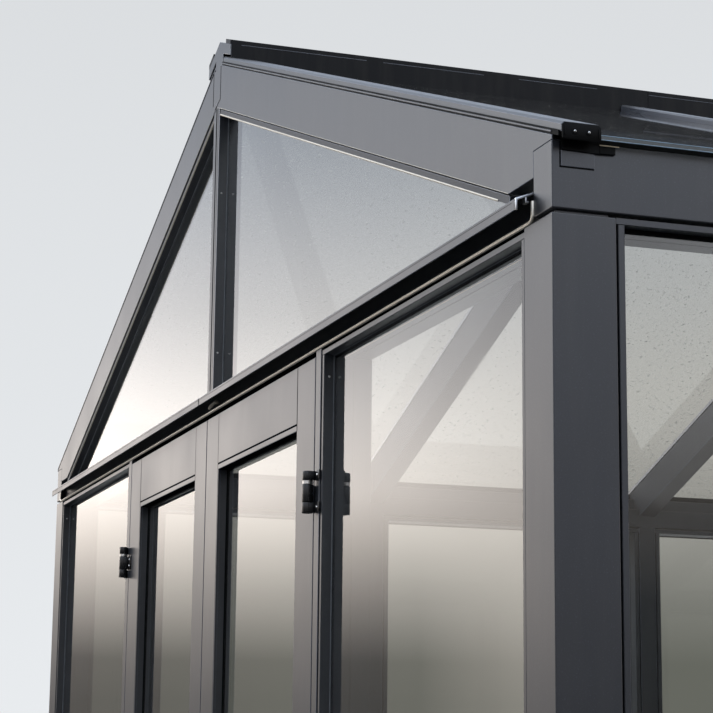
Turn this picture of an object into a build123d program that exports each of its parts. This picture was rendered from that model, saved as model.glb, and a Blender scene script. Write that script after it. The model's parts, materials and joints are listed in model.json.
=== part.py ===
from build123d import *
import math
import os

# A glass greenhouse of aluminium profiles, in millimetres. X runs across the gable, Y along the ridge, Z up.
# The origin is on the ground in the middle of the plan. The gable with the doors faces -Y.

# Plan of the house
gable_width = 3840.0
bay_pitch = 990.0
bay_count = 6
rear_bay_count = 4
corner_post_width = 100.0
wall_post_width = 60.0
wall_depth = 100.0

# Heights of the walls
sill_height = 80.0
eave_height = 2200.0
post_shadow_gap = 6.0
post_neck_inset = 8.0

# Beams on top of the walls
eave_beam_height = 100.0
eave_beam_width = 65.0
eave_shelf_height = 60.0
tie_beam_height = 41.6
tie_beam_setback = 14.0
tie_lip_height = 5.0
tie_lip_rise = 4.0

# Drip ledge above the gable windows
ledge_sheet = 2.0
ledge_root = 40.0
ledge_reach = 28.0
ledge_drop = 16.0
ledge_lip = 17.0
ledge_end_gap = 1.0

# Roof frame
roof_pitch = 20.8
roof_seat = 7.0
rafter_depth = 100.0
rafter_width = 60.0
apex_seam = 1.0
ridge_beam_width = 64.0
ridge_beam_depth = 84.0
glass_seat_width = 30.0
glass_seat_height = 1.0

# Roof glass and the caps that hold it down
glass_thickness = 4.0
roof_glass_thickness = 6.0
roof_glass_joint = 10.0
roof_glass_overhang = 20.0
roof_glass_top_gap = 45.0
rake_glass_inset = 12.0
cap_width = 62.0
cap_height = 14.0
cap_chamfer = 4.0
cap_overhang = 24.0
cap_top_gap = 4.0
rake_cap_setback = 4.4
plug_thickness = 4.0
plug_inset = 0.5
plug_rim = 10.0

# Seals that close the slot between the eave beams and the roof glass
eave_seal_width = 24.0
eave_seal_setback = 8.0

# Ridge cap, parallel to the roof, with a strip along each edge
ridge_cap_half_width = 98.0
ridge_cap_offset = 52.0
ridge_cap_sheet = 3.0
ridge_strip_width = 41.0
ridge_strip_height = 10.0
ridge_end_sheet = 3.0
ridge_end_setback = 4.0
ridge_end_offset = 27.0

# Glazing of the gable triangles
gable_post_width = 52.0
gable_post_setback = 1.0
gable_glass_setback = 24.0
gable_glass_groove = 6.0
gable_glass_tip = 12.0
rake_bead_gap = 2.5
rake_bead_height = 13.0
rake_bead_setback = 2.5
rake_bead_rib = 8.0

# Fixed windows
window_side_gap = 4.0
side_window_top_gap = 5.0
gable_window_top_gap = 6.0
window_setback = 2.0
window_glass_setback = 23.0
window_outer_bar = 10.0
window_inner_bar = 14.0
window_glass_bite = 6.0

# Double doors
door_opening = 1635.0
door_post_width = 30.0
door_side_gap = 5.5
door_meeting_gap = 9.0
door_meeting_line = -12.0
door_top_gap = 13.0
door_bottom_gap = 8.0
door_thickness = 40.0
door_glass_setback = 24.0
door_glass_bite = 8.0
hinge_stile_width = 114.0
meeting_stile_width = 99.5
door_top_rail = 127.0
door_bead_height = 11.0
door_bead_groove = 3.0
door_bead_depth = 6.0
door_bottom_rail = 180.0
threshold_height = 25.0

# Hinges, with the pin in front of the door's face
hinge_heights = (260.0, 1090.0, 1920.0)
hinge_length = 80.0
hinge_low_knuckle = 20.0
hinge_high_knuckle = 18.0
hinge_ring = 7.0
hinge_knuckle_gap = 0.5
hinge_radius = 10.5
hinge_pin_radius = 5.0
hinge_pin_clearance = 0.3
hinge_pin_offset = 14.0
hinge_pin_shift = 5.0
hinge_plate = 3.0
hinge_plate_reach = 27.0

# Lever handle
handle_height = 1050.0
handle_plate_width = 34.0
handle_plate_length = 190.0
handle_plate_thickness = 8.0
handle_neck_radius = 9.0
handle_neck_length = 36.0
lever_length = 125.0
lever_height = 18.0
lever_thickness = 12.0

# Sizes that follow from the ones above
half_width = gable_width / 2
length = bay_pitch * bay_count + corner_post_width
half_length = length / 2
slope = math.tan(math.radians(roof_pitch))
cosine = math.cos(math.radians(roof_pitch))
sine = math.sin(math.radians(roof_pitch))
roof_edge_z = eave_height + eave_beam_height + roof_seat
glass_top = glass_seat_height + roof_glass_thickness
cap_top = glass_top + cap_height
rafter_lines = [-half_length + corner_post_width / 2 + bay_pitch * i for i in range(1, bay_count)]
tie_bottom_z = eave_height - tie_lip_height
ledge_top_z = eave_height + tie_beam_height + ledge_sheet
door_post_outer = door_opening / 2 + door_post_width
SIDES = (-1, 1)


def block(x0, x1, y0, y1, z0, z1):
    """A box between two corners, given in any order."""
    size = Box(abs(x1 - x0), abs(y1 - y0), abs(z1 - z0))
    return Pos((x0 + x1) / 2, (y0 + y1) / 2, (z0 + z1) / 2) * size


def prism_y(points, y0, y1):
    """An outline of (x, z) points drawn out from y0 to y1."""
    plane = Plane((0, max(y0, y1), 0), x_dir=(1, 0, 0), z_dir=(0, -1, 0))
    return extrude(plane * Polygon(*points, align=None), amount=abs(y1 - y0), dir=(0, -1, 0))


def prism_x(points, x0, x1):
    """An outline of (y, z) points drawn out from x0 to x1."""
    plane = Plane((min(x0, x1), 0, 0), x_dir=(0, 1, 0), z_dir=(1, 0, 0))
    return extrude(plane * Polygon(*points, align=None), amount=abs(x1 - x0), dir=(1, 0, 0))


def roof_z(x, offset=0.0):
    """Height at distance x from the middle, on the plane that lies offset above the rafters' top faces."""
    return roof_edge_z + (half_width - abs(x)) * slope + offset / cosine


def roof_slab(side, x0, x1, y0, y1, low, high):
    """A piece of the roof slope between two offsets, on the left (-1) or the right (1)."""
    points = [(x0, roof_z(x0, low)), (x1, roof_z(x1, low)), (x1, roof_z(x1, high)), (x0, roof_z(x0, high))]
    return prism_y([(side * x, z) for x, z in points], y0, y1)


def slope_prism(side, points, x0, x1):
    """An outline of (y, offset) points on the upright plane at x0, drawn along the roof slope to x1."""
    plane = Plane((side * x0, 0, 0), x_dir=(0, 1, 0), z_dir=(1, 0, 0))
    outline = [(y, roof_z(x0, offset)) for y, offset in points]
    down_slope = (side * cosine, 0, -sine)
    return extrude(plane * Polygon(*outline, align=None), amount=(x1 - x0) / cosine, dir=down_slope)


def gable_y(end, depth):
    """The y of a plane that lies depth behind the outer face of the front (-1) or rear (1) gable."""
    return end * (half_length - depth)


def write(name, solids):
    """Writes the solids of one named piece."""
    shape = solids[0] if len(solids) == 1 else Compound(children=list(solids))
    export_step(shape, os.path.join("parts", name + ".step"))


# Walls

def corner_posts():
    posts = []
    for side in SIDES:
        for end in SIDES:
            inner_x = side * (half_width - corner_post_width)
            inner_y = end * (half_length - corner_post_width)
            shaft_top = eave_height - post_shadow_gap
            shaft = block(inner_x, side * half_width, inner_y, end * half_length, 0, shaft_top)
            neck_x = (inner_x + side * post_neck_inset, side * (half_width - post_neck_inset))
            neck_y = (inner_y + end * post_neck_inset, end * (half_length - post_neck_inset))
            neck = block(*neck_x, *neck_y, shaft_top, eave_height)
            posts.append(shaft + neck)
    return posts


def side_wall_posts(side):
    x0, x1 = side * (half_width - wall_depth), side * half_width
    half_post = wall_post_width / 2
    return [block(x0, x1, y - half_post, y + half_post, sill_height, eave_height) for y in rafter_lines]


def rear_pitch():
    return (gable_width - corner_post_width) / rear_bay_count


def rear_wall_posts():
    half_post = wall_post_width / 2
    y0, y1 = gable_y(1, wall_depth), gable_y(1, 0)
    posts = []
    for i in range(1, rear_bay_count):
        x = -half_width + corner_post_width / 2 + rear_pitch() * i
        posts.append(block(x - half_post, x + half_post, y0, y1, sill_height, tie_bottom_z))
    return posts


def door_posts():
    y0, y1 = gable_y(-1, 0), gable_y(-1, wall_depth)
    return [block(side * door_opening / 2, side * door_post_outer, y0, y1, 0, tie_bottom_z) for side in SIDES]


def base_sills():
    post_x = half_width - corner_post_width
    post_y = half_length - corner_post_width
    side_sills = [
        block(side * (half_width - wall_depth), side * half_width, -post_y, post_y, 0, sill_height)
        for side in SIDES
    ]
    front_sills = [
        block(side * door_post_outer, side * post_x, gable_y(-1, 0), gable_y(-1, wall_depth), 0, sill_height)
        for side in SIDES
    ]
    rear_sill = block(-post_x, post_x, gable_y(1, 0), gable_y(1, wall_depth), 0, sill_height)
    return side_sills + front_sills + [rear_sill]


def door_threshold():
    half_opening = door_opening / 2
    return [block(-half_opening, half_opening, gable_y(-1, 0), gable_y(-1, wall_depth), 0, threshold_height)]


# Beams and ledges

def eave_beam(side):
    outer_x = side * half_width
    shelf_x = side * (half_width - eave_beam_width)
    inner_x = side * (half_width - wall_depth)
    shelf_y = half_length - wall_depth
    beam = block(shelf_x, outer_x, -half_length, half_length, eave_height, eave_height + eave_beam_height)
    shelf = block(inner_x, shelf_x, -shelf_y, shelf_y, eave_height, eave_height + eave_shelf_height)
    return [beam + shelf]


def tie_beam(end):
    beam_x = half_width - eave_beam_width
    lip_x = half_width - corner_post_width
    face, back = gable_y(end, tie_beam_setback), gable_y(end, wall_depth)
    beam = block(-beam_x, beam_x, face, back, eave_height, eave_height + tie_beam_height)
    lip = prism_x(
        [
            (gable_y(end, 0), tie_bottom_z),
            (back, tie_bottom_z),
            (back, eave_height),
            (face, eave_height + tie_lip_rise),
            (face, eave_height),
            (gable_y(end, 0), eave_height),
        ],
        -lip_x,
        lip_x,
    )
    return [beam + lip]


def drip_ledges():
    """Folded sheets that lie flat on the tie beams and slope down from their faces."""
    ledge_x = half_width - eave_beam_width - ledge_end_gap
    low_z = ledge_top_z - ledge_drop
    ledges = []
    for end in SIDES:
        root, bend = gable_y(end, ledge_root), gable_y(end, tie_beam_setback)
        tip, tip_back = gable_y(end, -ledge_reach), gable_y(end, ledge_sheet - ledge_reach)
        outline = [
            (root, ledge_top_z),
            (bend, ledge_top_z),
            (tip, low_z),
            (tip, low_z - ledge_lip),
            (tip_back, low_z - ledge_lip),
            (tip_back, low_z - ledge_sheet),
            (bend, ledge_top_z - ledge_sheet),
            (root, ledge_top_z - ledge_sheet),
        ]
        ledges.append(prism_x(outline, -ledge_x, ledge_x))
    return ledges


# Roof frame

def upper_end(beam_gap):
    """Upper end of a sloping member, notched under the ridge beam and parted from the other by a seam."""
    beam_x = ridge_beam_width / 2 + beam_gap
    seam_x = apex_seam / 2
    return [
        (beam_x, roof_z(beam_x)),
        (beam_x, ridge_beam_levels()[0]),
        (seam_x, ridge_beam_levels()[0]),
        (seam_x, roof_z(seam_x, -rafter_depth)),
    ]


def rake_boards(end):
    """The two sloping members of a gable, which meet in an open seam under the ridge beam."""
    y0, y1 = gable_y(end, 0), gable_y(end, rafter_width)
    beam_top = eave_height + eave_beam_height
    beam_x = half_width - eave_beam_width
    foot_z = eave_height + eave_shelf_height
    foot_x = half_width - (foot_z - roof_edge_z + rafter_depth / cosine) / slope
    boards = []
    for side in SIDES:
        outline = [
            (half_width, beam_top),
            (half_width, roof_z(half_width)),
            *upper_end(apex_seam),
            (foot_x, foot_z),
            (beam_x, foot_z),
            (beam_x, beam_top),
        ]
        board = prism_y([(side * x, z) for x, z in outline], y0, y1)
        boards.append(board + glass_seat(side, gable_y(end, rafter_width / 2)))
    return boards


def glass_seat(side, y):
    """The raised strip on a rafter's top face that the glass lies on."""
    half_seat = glass_seat_width / 2
    return roof_slab(side, roof_glass_top_gap, half_width, y - half_seat, y + half_seat, 0, glass_seat_height)


def rafters(side):
    """Rafters that hang on the ridge beam and are notched over the eave beam."""
    beam_top = eave_height + eave_beam_height
    shelf_top = eave_height + eave_shelf_height
    beam_x = half_width - eave_beam_width
    shelf_x = half_width - wall_depth
    under_z = min(roof_z(shelf_x, -rafter_depth), shelf_top)
    outline = [
        (half_width, beam_top),
        (half_width, roof_z(half_width)),
        *upper_end(0),
        (shelf_x, under_z),
        (shelf_x, shelf_top),
        (beam_x, shelf_top),
        (beam_x, beam_top),
    ]
    solids = []
    for y in rafter_lines:
        bar = prism_y([(side * x, z) for x, z in outline], y - rafter_width / 2, y + rafter_width / 2)
        solids.append(bar + glass_seat(side, y))
    return solids


def ridge_beam_levels():
    """z of the ridge beam's underside and top."""
    top_z = roof_z(ridge_beam_width / 2)
    return top_z - ridge_beam_depth, top_z


def ridge_beam():
    half_beam = ridge_beam_width / 2
    return [block(-half_beam, half_beam, -half_length, half_length, *ridge_beam_levels())]


def mirrored(right_half):
    """A closed outline from the (x, z) points of its right half, whose last point is on the middle line."""
    return right_half + [(-x, z) for x, z in reversed(right_half[:-1])]


def ridge_cap():
    """A folded sheet whose sides stand on the glass and on the glazing caps."""
    edge, inner = ridge_cap_half_width, ridge_cap_half_width - ridge_cap_sheet
    under = ridge_cap_offset - ridge_cap_sheet
    end_y = half_length - ridge_end_setback - ridge_end_sheet
    foot = (inner, roof_z(inner, glass_top))
    hollow = [foot, (inner, roof_z(inner, under)), (0, roof_z(0, under))]
    cover = [
        foot,
        (edge, roof_z(edge, glass_top)),
        (edge, roof_z(edge, ridge_cap_offset)),
        (0, roof_z(0, ridge_cap_offset)),
    ]
    cap = prism_y(mirrored(cover), -end_y, end_y) - prism_y(mirrored(hollow), -end_y, end_y)
    for side in SIDES:
        for glazing_cap in glazing_caps(side):
            cap = cap - glazing_cap
    return [cap]


def ridge_cap_strips():
    """Black strips along the two edges of the ridge cap, as long as the cap with its end plates."""
    end_y = half_length - ridge_end_setback
    inner = ridge_cap_half_width - ridge_strip_width
    low, high = ridge_cap_offset, ridge_cap_offset + ridge_strip_height
    return [roof_slab(side, inner, ridge_cap_half_width, -end_y, end_y, low, high) for side in SIDES]


def ridge_end_plates():
    """Plates that stand on the ends of the ridge beam and close the ridge cap."""
    half_beam, edge = ridge_beam_width / 2, ridge_cap_half_width
    right_half = [
        (half_beam, ridge_beam_levels()[1]),
        (half_beam, roof_z(half_beam, ridge_end_offset)),
        (edge, roof_z(edge, ridge_end_offset)),
        (edge, roof_z(edge, ridge_cap_offset)),
        (0, roof_z(0, ridge_cap_offset)),
    ]
    face, back = ridge_end_setback, ridge_end_setback + ridge_end_sheet
    return [prism_y(mirrored(right_half), gable_y(end, face), gable_y(end, back)) for end in SIDES]


# Roof glass, caps and plugs

def roof_glass(side):
    half_joint = roof_glass_joint / 2
    edge = half_length - rake_glass_inset
    starts = [-edge] + [y + half_joint for y in rafter_lines]
    ends = [y - half_joint for y in rafter_lines] + [edge]
    low_x, high_x = half_width + roof_glass_overhang, roof_glass_top_gap
    return [roof_slab(side, high_x, low_x, y0, y1, glass_seat_height, glass_top) for y0, y1 in zip(starts, ends)]


def eave_seals():
    """Strips on the eave beams, cut to the slope of the glass, from rafter to rafter."""
    outer_x = half_width - eave_seal_setback
    inner_x = outer_x - eave_seal_width
    beam_top = eave_height + eave_beam_height
    outline = [
        (outer_x, beam_top),
        (outer_x, roof_z(outer_x, glass_seat_height)),
        (inner_x, roof_z(inner_x, glass_seat_height)),
        (inner_x, beam_top),
    ]
    half_rafter = rafter_width / 2
    starts = [-half_length + rafter_width] + [y + half_rafter for y in rafter_lines]
    ends = [y - half_rafter for y in rafter_lines] + [half_length - rafter_width]
    return [
        prism_y([(side * x, z) for x, z in outline], y0, y1)
        for side in SIDES
        for y0, y1 in zip(starts, ends)
    ]


def cap_lines():
    """Middle lines of the caps: one just behind each gable face and one on each rafter."""
    rake_y = half_length - rake_cap_setback - cap_width / 2
    return [-rake_y] + rafter_lines + [rake_y]


def glazing_caps(side):
    """Caps with chamfered upper edges, which run from the ridge beam to beyond the eaves."""
    half_cap = cap_width / 2
    low_x = half_width + cap_overhang
    high_x = ridge_beam_width / 2 + cap_top_gap
    shoulder = cap_top - cap_chamfer
    caps = []
    for y in cap_lines():
        outline = [
            (y - half_cap, glass_top),
            (y + half_cap, glass_top),
            (y + half_cap, shoulder),
            (y + half_cap - cap_chamfer, cap_top),
            (y - half_cap + cap_chamfer, cap_top),
            (y - half_cap, shoulder),
        ]
        caps.append(slope_prism(side, outline, high_x, low_x))
    return caps


def cap_end_plugs():
    half_plug = cap_width / 2 - plug_inset
    x0 = half_width + cap_overhang
    x1 = x0 + plug_thickness
    low = glass_top - plug_rim
    return [
        roof_slab(side, x0, x1, y - half_plug, y + half_plug, low, cap_top)
        for side in SIDES
        for y in cap_lines()
    ]


# Gable triangles

def rake_under_z(x):
    return roof_z(x, -rafter_depth)


def gable_panes(end):
    """The two triangular panes, with a blunt tip at the eaves."""
    groove_x = gable_post_width / 2 - gable_glass_groove
    y0 = gable_y(end, gable_glass_setback)
    y1 = gable_y(end, gable_glass_setback + glass_thickness)
    tip_x = half_width - (ledge_top_z + gable_glass_tip - roof_edge_z + rafter_depth / cosine) / slope
    panes = []
    for side in SIDES:
        outline = [
            (groove_x, ledge_top_z),
            (tip_x, ledge_top_z),
            (tip_x, rake_under_z(tip_x)),
            (groove_x, rake_under_z(groove_x)),
        ]
        panes.append(prism_y([(side * x, z) for x, z in outline], y0, y1))
    return panes


def gable_glass():
    return gable_panes(-1) + gable_panes(1)


def gable_posts():
    """The upright in the middle of each gable triangle, grooved for the panes and cut to the ledge."""
    half_post = gable_post_width / 2
    posts = []
    for end in SIDES:
        y0 = gable_y(end, gable_post_setback)
        y1 = gable_y(end, rafter_width)
        low_z = ledge_top_z - ledge_drop
        outline = [
            (-half_post, low_z),
            (half_post, low_z),
            (half_post, rake_under_z(half_post)),
            (0, rake_under_z(0)),
            (-half_post, rake_under_z(half_post)),
        ]
        bend, tip = gable_y(end, tie_beam_setback), gable_y(end, -ledge_reach)
        ledge_line = [(y1, low_z), (y1, ledge_top_z), (bend, ledge_top_z), (tip, low_z)]
        post = prism_y(outline, y0, y1) - prism_x(ledge_line, -gable_post_width, gable_post_width)
        for pane in gable_panes(end):
            post = post - pane
        posts.append(post)
    return posts


def rake_beads():
    """Beads that hold the triangular panes from outside, each clipped to its board by a rib."""
    top = -rafter_depth - rake_bead_gap
    low = top - rake_bead_height
    high_x = gable_post_width / 2
    low_z = ledge_top_z
    beads = []
    for end in SIDES:
        face, back = gable_y(end, rake_bead_setback), gable_y(end, gable_glass_setback)
        rib_face = gable_y(end, gable_glass_setback - rake_bead_rib)
        for side in SIDES:
            tip_x = half_width - (low_z - roof_edge_z - low / cosine) / slope
            bead = roof_slab(side, high_x, tip_x, face, back, low, top)
            rib = roof_slab(side, high_x, tip_x, rib_face, back, top, -rafter_depth)
            beads.append(bead + rib)
    return beads


# Fixed windows. Each is drawn at the origin: x across, y from the outer face inwards, z up.

def window_section(sign):
    """Outline (across, depth) of a frame bar, with a groove for the glass on the side of the opening."""
    glass_back = window_glass_setback + glass_thickness
    bite = window_outer_bar - window_glass_bite
    points = [
        (0, window_setback),
        (window_outer_bar, window_setback),
        (window_outer_bar, window_glass_setback),
        (bite, window_glass_setback),
        (bite, glass_back),
        (window_inner_bar, glass_back),
        (window_inner_bar, wall_depth),
        (0, wall_depth),
    ]
    return [(sign * across, depth) for across, depth in points]


def window_rails(width, height):
    """Bottom and top rail, over the whole width of the frame."""
    plane = Plane((-width / 2, 0, 0), x_dir=(0, 0, 1), z_dir=(1, 0, 0))
    rails = []
    for sign, base in ((1, 0.0), (-1, height)):
        outline = [(base + across, -depth) for across, depth in window_section(sign)]
        rails.append(extrude(plane * Polygon(*outline, align=None), amount=width, dir=(1, 0, 0)))
    return rails


def window_stiles(width, height, rails):
    """Left and right stile, cut to fit between the rails."""
    stiles = []
    for sign in SIDES:
        outline = [(across + sign * width / 2, depth) for across, depth in window_section(-sign)]
        stile = extrude(Polygon(*outline, align=None), amount=height, dir=(0, 0, 1))
        for rail in rails:
            stile = stile - rail
        stiles.append(stile)
    return stiles


def window_pane(width, height):
    edge = window_outer_bar - window_glass_bite
    half_pane = width / 2 - edge
    back = window_glass_setback + glass_thickness
    return block(-half_pane, half_pane, window_glass_setback, back, edge, height - edge)


def side_window_places(side):
    """The middle, width and height of each window of a side wall, with its turn about Z."""
    post_y = half_length - corner_post_width
    half_post = wall_post_width / 2
    starts = [-post_y] + [y + half_post for y in rafter_lines]
    ends = [y - half_post for y in rafter_lines] + [post_y]
    height = eave_height - side_window_top_gap - sill_height
    places = []
    for y0, y1 in zip(starts, ends):
        spot = Pos(side * half_width, (y0 + y1) / 2, sill_height) * Rot(0, 0, side * 90)
        places.append((spot, y1 - y0 - 2 * window_side_gap, height))
    return places


def gable_window_places():
    """Two windows beside the doors and a row of them in the rear wall."""
    height = tie_bottom_z - gable_window_top_gap - sill_height
    post_x = half_width - corner_post_width
    places = []
    for side in SIDES:
        spot = Pos(side * (door_post_outer + post_x) / 2, gable_y(-1, 0), sill_height)
        places.append((spot, post_x - door_post_outer - 2 * window_side_gap, height))
    lines = [-half_width + corner_post_width / 2 + rear_pitch() * i for i in range(1, rear_bay_count)]
    half_post = wall_post_width / 2
    starts = [-post_x] + [x + half_post for x in lines]
    ends = [x - half_post for x in lines] + [post_x]
    for x0, x1 in zip(starts, ends):
        spot = Pos((x0 + x1) / 2, gable_y(1, 0), sill_height) * Rot(0, 0, 180)
        places.append((spot, x1 - x0 - 2 * window_side_gap, height))
    return places


def write_windows(name, places):
    stiles, rails, panes = [], [], []
    for spot, width, height in places:
        window_pair = window_rails(width, height)
        rails += [spot * rail for rail in window_pair]
        stiles += [spot * stile for stile in window_stiles(width, height, window_pair)]
        panes.append(spot * window_pane(width, height))
    write(name + "_stiles", stiles)
    write(name + "_rails", rails)
    write(name + "_glass", panes)


# Doors

def door_edges(side):
    """x of the hinge edge and of the meeting edge of a leaf. The leaves meet left of the middle."""
    return side * (door_opening / 2 - door_side_gap), door_meeting_line + side * door_meeting_gap / 2


def door_levels():
    """z of the leaf's bottom and top."""
    return threshold_height + door_bottom_gap, tie_bottom_z - door_top_gap


def door_pane(side):
    hinge_edge, meeting_edge = door_edges(side)
    low, high = door_levels()
    x0 = hinge_edge - side * (hinge_stile_width - door_glass_bite)
    x1 = meeting_edge + side * (meeting_stile_width - door_glass_bite)
    z0 = low + door_bottom_rail - door_glass_bite
    z1 = high - door_top_rail + door_glass_bite
    y0 = gable_y(-1, door_glass_setback)
    y1 = gable_y(-1, door_glass_setback + glass_thickness)
    return block(x0, x1, y0, y1, z0, z1)


def door_stiles(side):
    hinge_edge, meeting_edge = door_edges(side)
    low, high = door_levels()
    y0, y1 = gable_y(-1, 0), gable_y(-1, door_thickness)
    pane = door_pane(side)
    hinge_stile = block(hinge_edge, hinge_edge - side * hinge_stile_width, y0, y1, low, high)
    meeting_stile = block(meeting_edge, meeting_edge + side * meeting_stile_width, y0, y1, low, high)
    return [hinge_stile - pane, meeting_stile - pane]


def door_rails(side):
    hinge_edge, meeting_edge = door_edges(side)
    low, high = door_levels()
    y0, y1 = gable_y(-1, 0), gable_y(-1, door_thickness)
    x0 = hinge_edge - side * hinge_stile_width
    x1 = meeting_edge + side * meeting_stile_width
    pane = door_pane(side)
    bottom_rail = block(x0, x1, y0, y1, low, low + door_bottom_rail)
    top_rail = block(x0, x1, y0, y1, high - door_top_rail, high)
    groove_low = high - door_top_rail + door_bead_height
    groove = block(x0, x1, y0, gable_y(-1, door_bead_depth), groove_low, groove_low + door_bead_groove)
    return [bottom_rail - pane, top_rail - pane - groove]


def pin_line(side):
    """x and y of the hinge pins of one leaf, in front of the gap beside it and nearer to the post."""
    gap_middle = door_opening / 2 - door_side_gap / 2
    return side * (gap_middle + hinge_pin_shift), gable_y(-1, -hinge_pin_offset)


def upright_cylinder(x, y, z0, z1, radius):
    return Pos(x, y, (z0 + z1) / 2) * Cylinder(radius, z1 - z0)


def hinge_leaf(side, reach_sign, z0, z1, edge_gap):
    """A plate on the face of the frame or the leaf, with the web that runs to the barrel."""
    x, y = pin_line(side)
    face = gable_y(-1, 0)
    edge = x + reach_sign * edge_gap
    far = edge + reach_sign * hinge_plate_reach
    plate = block(edge, far, face - hinge_plate, face, z0, z1)
    web_far = edge + reach_sign * hinge_plate
    web = block(edge, web_far, y, face, z0, z1)
    return plate + web


def hinge_levels(z):
    """z of the ends of a hinge's sections, upwards: lower frame knuckle, door knuckle, upper frame knuckle."""
    low, high = z - hinge_length / 2, z + hinge_length / 2
    door_low = low + hinge_low_knuckle + hinge_knuckle_gap
    door_high = high - hinge_high_knuckle - hinge_ring - hinge_knuckle_gap
    return (low, low + hinge_low_knuckle), (door_low, door_high), (high - hinge_high_knuckle, high)


def door_hinges(side):
    """The knuckles that turn with the leaf, bored for the pin."""
    x, y = pin_line(side)
    bore = hinge_pin_radius + hinge_pin_clearance
    knuckles = []
    for z in hinge_heights:
        z0, z1 = hinge_levels(z)[1]
        knuckle = upright_cylinder(x, y, z0, z1, hinge_radius)
        leaf = hinge_leaf(side, -side, z0, z1, hinge_radius - hinge_plate)
        knuckles.append(knuckle + leaf - upright_cylinder(x, y, z0, z1, bore))
    return knuckles


def frame_hinges():
    """The upper and lower knuckles with the pin, on the door posts."""
    hinges = []
    for side in SIDES:
        x, y = pin_line(side)
        for z in hinge_heights:
            lower, middle, upper = hinge_levels(z)
            hinge = upright_cylinder(x, y, lower[0], upper[1], hinge_pin_radius)
            for z0, z1 in (lower, upper):
                hinge = hinge + upright_cylinder(x, y, z0, z1, hinge_radius)
                hinge = hinge + hinge_leaf(side, side, z0, z1, hinge_radius - hinge_plate)
            hinges.append(hinge)
    return hinges


def door_handle(side):
    """A lever on a long plate, outside and inside the meeting stile."""
    hinge_edge, meeting_edge = door_edges(side)
    x = meeting_edge + side * meeting_stile_width / 2
    half_plate = handle_plate_width / 2
    z0, z1 = handle_height - handle_plate_length / 2, handle_height + handle_plate_length / 2
    levers = []
    for face_depth, outward in ((0, -1), (door_thickness, 1)):
        face = gable_y(-1, face_depth)
        plate_y = face + outward * handle_plate_thickness
        neck_y = face + outward * handle_neck_length
        plate = block(x - half_plate, x + half_plate, face, plate_y, z0, z1)
        neck_length = abs(neck_y - plate_y) + lever_thickness
        neck_middle = (plate_y + neck_y + outward * lever_thickness) / 2
        neck = Pos(x, neck_middle, handle_height) * Rot(90, 0, 0) * Cylinder(handle_neck_radius, neck_length)
        lever = block(
            x,
            x + side * lever_length,
            neck_y,
            neck_y + outward * lever_thickness,
            handle_height - lever_height / 2,
            handle_height + lever_height / 2,
        )
        levers.append(plate + neck + lever)
    return levers


# All pieces, each written under its own name

os.makedirs("parts", exist_ok=True)

write("corner_posts", corner_posts())
write("rear_wall_posts", rear_wall_posts())
write("door_posts", door_posts())
write("base_sills", base_sills())
write("door_threshold", door_threshold())
write("front_tie_beam", tie_beam(-1))
write("rear_tie_beam", tie_beam(1))
write("drip_ledges", drip_ledges())
write("front_rake_boards", rake_boards(-1))
write("rear_rake_boards", rake_boards(1))
write("ridge_beam", ridge_beam())
write("ridge_cap", ridge_cap())
write("ridge_cap_strips", ridge_cap_strips())
write("ridge_end_plates", ridge_end_plates())
write("eave_seals", eave_seals())
write("cap_end_plugs", cap_end_plugs())
write("gable_posts", gable_posts())
write("gable_glass", gable_glass())
write("rake_beads", rake_beads())
write("frame_hinges", frame_hinges())
write_windows("gable_window", gable_window_places())

for side, word in ((-1, "left"), (1, "right")):
    write(word + "_wall_posts", side_wall_posts(side))
    write(word + "_eave_beam", eave_beam(side))
    write(word + "_rafters", rafters(side))
    write(word + "_glazing_caps", glazing_caps(side))
    write(word + "_roof_glass", roof_glass(side))
    write_windows(word + "_window", side_window_places(side))
    write(word + "_door_stiles", door_stiles(side))
    write(word + "_door_rails", door_rails(side))
    write(word + "_door_glass", [door_pane(side)])
    write(word + "_door_hinges", door_hinges(side))

write("right_door_handle", door_handle(1))
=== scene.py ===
"""Glass greenhouse: finishes and small parts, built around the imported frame."""

import json
import math

import bmesh
import bpy
from mathutils import Matrix, Vector

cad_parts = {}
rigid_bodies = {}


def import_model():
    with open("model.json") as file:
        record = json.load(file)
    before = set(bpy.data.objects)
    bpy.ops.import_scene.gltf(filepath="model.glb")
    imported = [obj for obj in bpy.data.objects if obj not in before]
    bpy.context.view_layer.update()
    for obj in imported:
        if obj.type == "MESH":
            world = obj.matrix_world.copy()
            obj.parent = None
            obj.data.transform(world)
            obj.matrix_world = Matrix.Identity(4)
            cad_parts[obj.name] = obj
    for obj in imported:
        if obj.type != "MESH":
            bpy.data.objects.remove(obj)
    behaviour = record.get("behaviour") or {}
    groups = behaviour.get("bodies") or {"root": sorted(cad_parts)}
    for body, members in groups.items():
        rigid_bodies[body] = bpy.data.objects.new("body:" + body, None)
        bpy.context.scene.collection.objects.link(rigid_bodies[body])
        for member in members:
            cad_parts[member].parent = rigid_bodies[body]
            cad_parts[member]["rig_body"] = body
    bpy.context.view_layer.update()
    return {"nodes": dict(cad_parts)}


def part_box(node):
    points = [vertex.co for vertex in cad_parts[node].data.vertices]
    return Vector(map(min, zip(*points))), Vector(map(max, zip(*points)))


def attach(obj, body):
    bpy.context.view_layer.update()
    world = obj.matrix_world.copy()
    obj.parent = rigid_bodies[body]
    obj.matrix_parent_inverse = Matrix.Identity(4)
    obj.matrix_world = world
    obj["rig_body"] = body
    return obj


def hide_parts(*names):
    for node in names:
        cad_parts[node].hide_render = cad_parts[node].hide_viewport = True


bl_info = {
    "name": "Glass greenhouse",
    "version": (1, 0, 0),
    "blender": (4, 5, 0),
    "location": "3D View > Sidebar > Greenhouse",
    "description": "Dresses the packed greenhouse with its finishes, seals, caps and screws",
    "category": "Object",
}

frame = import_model()

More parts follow.
